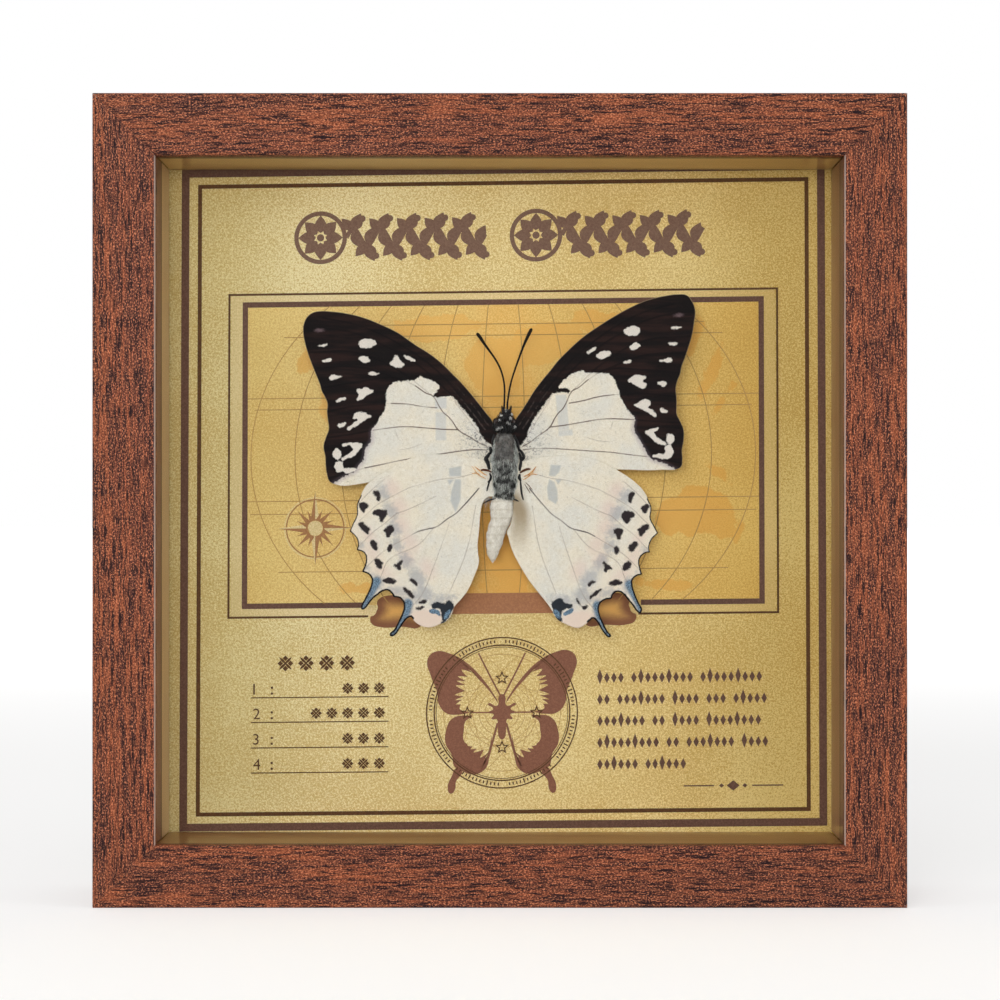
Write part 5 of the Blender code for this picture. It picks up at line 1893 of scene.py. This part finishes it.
coat("thorax_dusk_coat", thorax_shape, 4200, dusk_area, DOWN, 1.0, 0.06, 0.3, dusk_hair, "grey_fur")
coat("thorax_silver_coat", thorax_shape, 5600, silver_area, DOWN, 1.15, 0.065, 0.4, silver_hair, "grey_fur")
coat("thorax_dark_coat", thorax_shape, 9000, dark_area, DOWN, 0.8, 0.09, 0.55, dark_hair, "grey_fur")
coat("abdomen_coat", abdomen_shape, 3600, whole, DOWN, 0.7, 0.06, 0.16, ringed_hair, "pale_fur")

# %% [markdown]
# ### Hairs and plates at the wing roots
#
# The wings are hinged to the thorax by small black plates, which show as a broken dark outline down
# each side. Below them long pale hairs sweep out over the roots of the hindwings, and a few orange
# and brown ones stand up where the two wings meet. Each is a thin tube along a smooth path.


# %% Tubes along paths
def tube(rows, rings=60, sides=10, ripple=0.0):
    """A tube round a smooth path; a row is (sideways, up, back, radius) from the body's middle."""
    rows = smooth_between(rows, rings)
    way = np.gradient(rows[:, :2], axis=0)
    way /= np.hypot(*way.T)[:, None]
    across = np.column_stack([way[:, 1], np.zeros(rings), -way[:, 0]])
    radius = rows[:, 3] * (1 + ripple * np.sin(np.arange(rings) * math.pi / 2))
    turn = np.linspace(0, 2 * math.pi, sides, endpoint=False)
    axis = np.column_stack([rows[:, 0], rows[:, 2], rows[:, 1]]) + BODY
    cos, sin = np.cos(turn)[None, :, None], np.sin(turn)[None, :, None]
    outward = cos * across[:, None] + sin * np.array((0.0, 1.0, 0.0))
    return closed_tube(axis[:, None] + radius[:, None, None] * outward, axis[:1], axis[-1:])


def strands(name, text, back, stoutness, rings, sides, material, slot):
    """Tubes in one piece, parted by slashes: each a radius and then (sideways, up) pairs.

    A strand has its full radius in the middle and is thin at both ends.
    """
    tubes = []
    for strand in text.split("/"):
        radius, *path = map(float, strand.split())
        path = np.reshape(path, (-1, 2))
        swell = 0.35 + 0.65 * np.sin(np.linspace(0.12, 0.88, len(path)) * math.pi)
        row = np.column_stack([path, np.full(len(path), back), radius * stoutness * swell])
        tubes.append(tube(row, rings, sides))
    solid(name, joined(tubes), material, slot)


PLATES = """
    0.17 -2.3 5.7 -2.6 4.8 -2.75 4 -2.7 3.3 / 0.3 -3.3 2.9 -3.2 2.4 -3.1 2 -3.3 1.2 / 0.34 -3.4 1.5 -3.8
    0.8 -4.2 0.3 -4.1 -0.2 -3.8 -0.8 -3.6 -1.6 -3.4 -2.3 / 0.2 -3.4 -3.1 -3.1 -3.9 -3.3 -4.7 -3.8 -5.2 /
    0.13 -3.3 -4.7 -3.6 -5.6 -3.9 -6.6 -4 -7.2 / 0.19 -2.65 -1.8 -2.6 -3 -2.4 -4.2 -2.2 -5 -1.8 -5.7
    -0.8 -6.5 / 0.24 2.2 5.6 2.6 4.6 3 3.6 3.2 2.6 3.3 1.8 / 0.26 3.2 2.4 3.9 1.7 4.4 0.6 3.8 -0.1 3.6
    0.8 3.3 1.6 / 0.26 3.8 0.2 3.7 -0.8 3.5 -1.8 3.45 -2.6 / 0.26 3.45 -3.3 3.4 -4.2 3.7 -4.9 / 0.17 3.6
    -4.6 3.7 -5.8 3.8 -7 4 -8.2 4.3 -9.2 / 0.12 -4.8 -10 -4 -9.5 -3 -9.1 -2 -8.9 / 0.12 2 -8.9 2.6 -9.2
    3.2 -9.5"""
BROWN_HAIRS = """
    0.17 -2.9 -2.9 -3.8 -2.5 -4.8 -2.35 -5.4 -2.5 / 0.19 3.5 -3 4.4 -2.5 5.2 -2.2 5.9 -2.2 / 0.06 4.8
    -5.2 5.6 -6 6.4 -7 / 0.06 4.6 -5.6 5.2 -6.6 5.8 -7.6"""
AMBER_HAIRS = """
    0.09 -4 -3.6 -4.8 -3.2 -5.8 -2.4 -6.8 -1.6 / 0.07 -5.6 -3.4 -6.4 -3.1 -7.4 -3.2 / 0.09 4.4 -3.9 5.4
    -3.4 6.4 -2.6 7.2 -1.6 / 0.07 5.4 -3.6 6.4 -3.3 7.4 -3.4 / 0.06 -4.2 -4.4 -5 -4 -6 -3.4 -7.4 -1.5 /
    0.07 4.2 -4.6 5 -4.2 6 -3.4 6.6 -2.8"""
black_plate = skin("wing_root_plates", (12, 12, 13), (44, 42, 42), 0.4, 1.6)
brown = fur("root_hair_brown", (70, 40, 26), (110, 66, 42))
amber = fur("root_hair_amber", (192, 118, 46), (242, 196, 126))
strands("wing_root_plates", PLATES, -1.7, 1.4, 30, 8, black_plate, "grey_fur")
strands("root_hairs_brown", BROWN_HAIRS, -1.75, 1.5, 24, 6, brown, "pale_fur")
strands("root_hairs_amber", AMBER_HAIRS, -1.75, 1.5, 24, 6, amber, "pale_fur")

SWEEP_HAIRS = 170


def sweep(side):
    """Roots and directions of the long hairs over one hindwing's root, fanned from out to down."""
    share = rng.random(SWEEP_HAIRS)
    z = -3.2 - 5.0 * share
    x = side * (3.7 + 0.5 * share) + rng.normal(0, 0.25, SWEEP_HAIRS)
    places = np.column_stack([x, np.full(SWEEP_HAIRS, -0.62), z]) + BODY
    angle = np.radians(-38 - 50 * share + rng.normal(0, 6, SWEEP_HAIRS))
    comb = np.column_stack([side * np.cos(angle), np.zeros(SWEEP_HAIRS), np.sin(angle)])
    return places, comb


for side, label in ((-1, "left"), (1, "right")):
    places, comb = sweep(side)
    normals = np.broadcast_to(np.array((0.0, -1.0, 0.0)), places.shape)
    hairs = hair_coat(places, normals, comb, 4.2, 0.05, 0.05)
    solid(f"hindwing_hair_{label}", hairs, pale_hair, "pale_fur")

# %% [markdown]
# ## Head and antennae
#
# The head is glossy black: a skull with an eye bulging at each side, a furry collar, small white
# tufts that are partly white scales and partly painted highlights, and two palps that point forward
# and up. Each is a round body or a coat, joined into few pieces.

# %% Head
COLLAR = number_rows("""
    0 9.1 0.3 0.8 0.7 / 0 8.7 0.3 2.3 1.5 / 0 7.6 0.4 2.75 1.9 / 0 6.6 0.3 2.3 1.8 / 0 6 0.3 1.5 1.2""")
SKULL = number_rows("""
    0.3 11.4 0.2 0.35 0.35 / 0.3 11.1 0.3 0.9 0.8 / 0.3 10.3 0.4 1.45 1.3 / 0.15 9.4 0.4 1.9 1.6 / 0 8.4
    0.3 1.9 1.6 / 0 7.6 0.2 1 0.9""")


def eye(side):
    """An upright oval bead at one side of the skull."""
    beads = []
    for height in np.linspace(1.0, -1.0, 9):
        reach = math.sqrt(max(1 - height * height, 0.01))
        beads.append((side * 1.7, 8.6 + 1.05 * height, 0.75, 0.95 * reach, 0.9 * reach))
    return round_body(beads, rings=26, sides=24)


def palp(side):
    """A short stub that leans forward and a little outwards."""
    centre = 0.45 + side * 0.75
    beads = [(centre, 10.2, 1.2, 0.2, 0.2), (centre, 11.0, 1.5, 0.36, 0.36),
             (centre + side * 0.2, 11.7, 1.5, 0.26, 0.26), (centre + side * 0.3, 12.3, 1.3, 0.08, 0.08)]
    return round_body(beads, rings=24, sides=14)


collar_shape = round_body(COLLAR, 40, 32)
skull_shape = round_body(SKULL, 40, 32)
head_shape = joined([collar_shape, skull_shape, palp(-1), palp(1)])
head_chitin = skin("head_chitin", (12, 11, 12), (42, 36, 34), 0.25, 1.4)
solid("head_shell", head_shape, head_chitin, "black_shell", "head")
bench = Bench("eye_gloss", roughness=0.12, specular=0.6)
facets = bench.cells(9.0)
eye_gloss = bench.finish(bench.mix(facets, (20, 14, 12), (52, 34, 26)), facets, 0.01 * MM)
solid("eyes", joined([eye(-1), eye(1)]), eye_gloss, "black_shell")

# Partly white scales, partly painted highlights: white spots where the glossy head and eyes catch the
# light.
white_hair_and_highlights = fur("white_scales_and_highlights", (220, 220, 216), (250, 250, 246))
WHITE_SPOTS = knots("""
    -1.7 7.1 -1.2 7.3 -0.7 7.4 -0.7 10.2 1.3 9.6 1.4 10.5 0.7 8.5 1.1 8.2 -1.6 8.95 -1.1 9 0.3 11.2 2.3
    7.6""")


def near_white_spots(p):
    """Roots close to one of the white spots' middles, on the side in view."""
    gaps = np.hypot(*(p[:, None, [0, 2]] - WHITE_SPOTS[None]).transpose(2, 0, 1))
    return (gaps.min(1) < 0.30) & (p[:, 1] < 0.2)


def in_front_of(depth):
    """An area rule: roots nearer to the viewer than a depth."""
    return lambda p: p[:, 1] < depth


UP = -DOWN
shell = "black_shell"
both_shapes = joined([collar_shape, skull_shape])
coat("collar_coat", collar_shape, 1500, in_front_of(0.6), DOWN, 0.9, 0.07, 0.5, dark_hair, shell)
coat("head_coat", skull_shape, 700, in_front_of(0.4), UP, 0.7, 0.06, 0.6, dark_hair, shell)
coat("white_tufts_and_highlights", both_shapes, 5200, near_white_spots, DOWN, 0.5, 0.09, 0.4, white_hair_and_highlights, shell)

# %% [markdown]
# The antennae are thin tubes that thicken into a club at the tip. A slight ripple in the radius
# stands for the many short joints of a real antenna.

# %% Antennae
ANTENNAE = {
    "left": number_rows("""
        -0.2 11.2 -0.6 0.2 / -0.05 12.6 -0.4 0.18 / 0 14.6 -0.4 0.17 / 0 16.6 -0.4 0.17 / -0.3 18.6 -0.4
        0.17 / -0.9 20.6 -0.4 0.18 / -1.9 22.6 -0.4 0.19 / -3.2 24.5 -0.4 0.21 / -4.5 26.3 -0.4 0.27 /
        -5.5 27.8 -0.4 0.34 / -6.1 28.6 -0.4 0.33 / -6.3 28.9 -0.4 0.14"""),
    "right": number_rows("""
        0.75 11.2 -0.6 0.2 / 0.65 12.6 -0.4 0.18 / 0.9 14.6 -0.4 0.17 / 1.25 16.6 -0.4 0.17 / 1.75 18.6
        -0.4 0.17 / 2.4 20.6 -0.4 0.18 / 3.1 22.6 -0.4 0.19 / 3.8 24.5 -0.4 0.21 / 4.5 26.3 -0.4 0.25 /
        5.3 28.1 -0.4 0.32 / 6 29.5 -0.4 0.33 / 6.25 29.9 -0.4 0.14"""),
}
ANTENNA_STOUTNESS = 1.15
antenna_skin = skin("antenna_chitin", (8, 6, 6), (26, 20, 18), 0.5, 2.0, 0.25)
for side in ("left", "right"):
    feeler = tube(ANTENNAE[side] * (1, 1, 1, ANTENNA_STOUTNESS), 150, 12, 0.06)
    solid(f"clubbed_antenna_{side}", feeler, antenna_skin, "black_shell", f"antenna_{side}")

# %% [markdown]
# ## Back of the box
#
# Nobody looks here often, but the part is seen from all sides. The backing board is brown
# fibreboard, the retaining points and the sawtooth hanger are zinc-plated steel, and the two nails
# have a brassy coat. These are the construction's own solids with finished materials.

# %% Board, steel and foam
bench = Bench("fibreboard", roughness=0.8, specular=0.25)
fibre = bench.noise(0.5, detail=6.0, rough=0.7)
flecks = bench.noise((1.8, 1.8, 0.6), detail=2.0)
board_colour = bench.mix(fibre, (112, 80, 54), (158, 120, 84))
board_colour = bench.wash(board_colour, flecks, 0.6, 0.75, (84, 60, 42), 0.5)
dress("backing_board", bench.finish(board_colour, fibre, 0.05 * MM))


def plated(name, dark, light, roughness):
    """Plated steel: slow spangle in colour, fine drawn scratches in the bump."""
    bench = Bench(name, roughness=roughness, metallic=1.0)
    spangle = bench.cells(0.7)
    scratches = bench.noise((0.4, 6.0, 6.0), detail=3.0)
    return bench.finish(bench.mix(spangle, dark, light), scratches, 0.01 * MM)


zinc = plated("zinc_plate", (150, 150, 152), (200, 201, 204), 0.34)
brassy = plated("brass_plate", (170, 140, 78), (214, 184, 116), 0.28)
for side in ("bottom", "left", "top", "right"):
    dress(f"retaining_point_{side}", zinc)
dress("sawtooth_hanger", zinc)
for side in ("left", "right"):
    dress(f"hanger_nail_{side}", brassy)

bench = Bench("white_foam", roughness=0.9, specular=0.2)
pores = bench.cells(3.0)
dress("foam_pad", bench.finish(bench.mix(pores, (206, 204, 198), (238, 236, 230)), pores, 0.1 * MM))
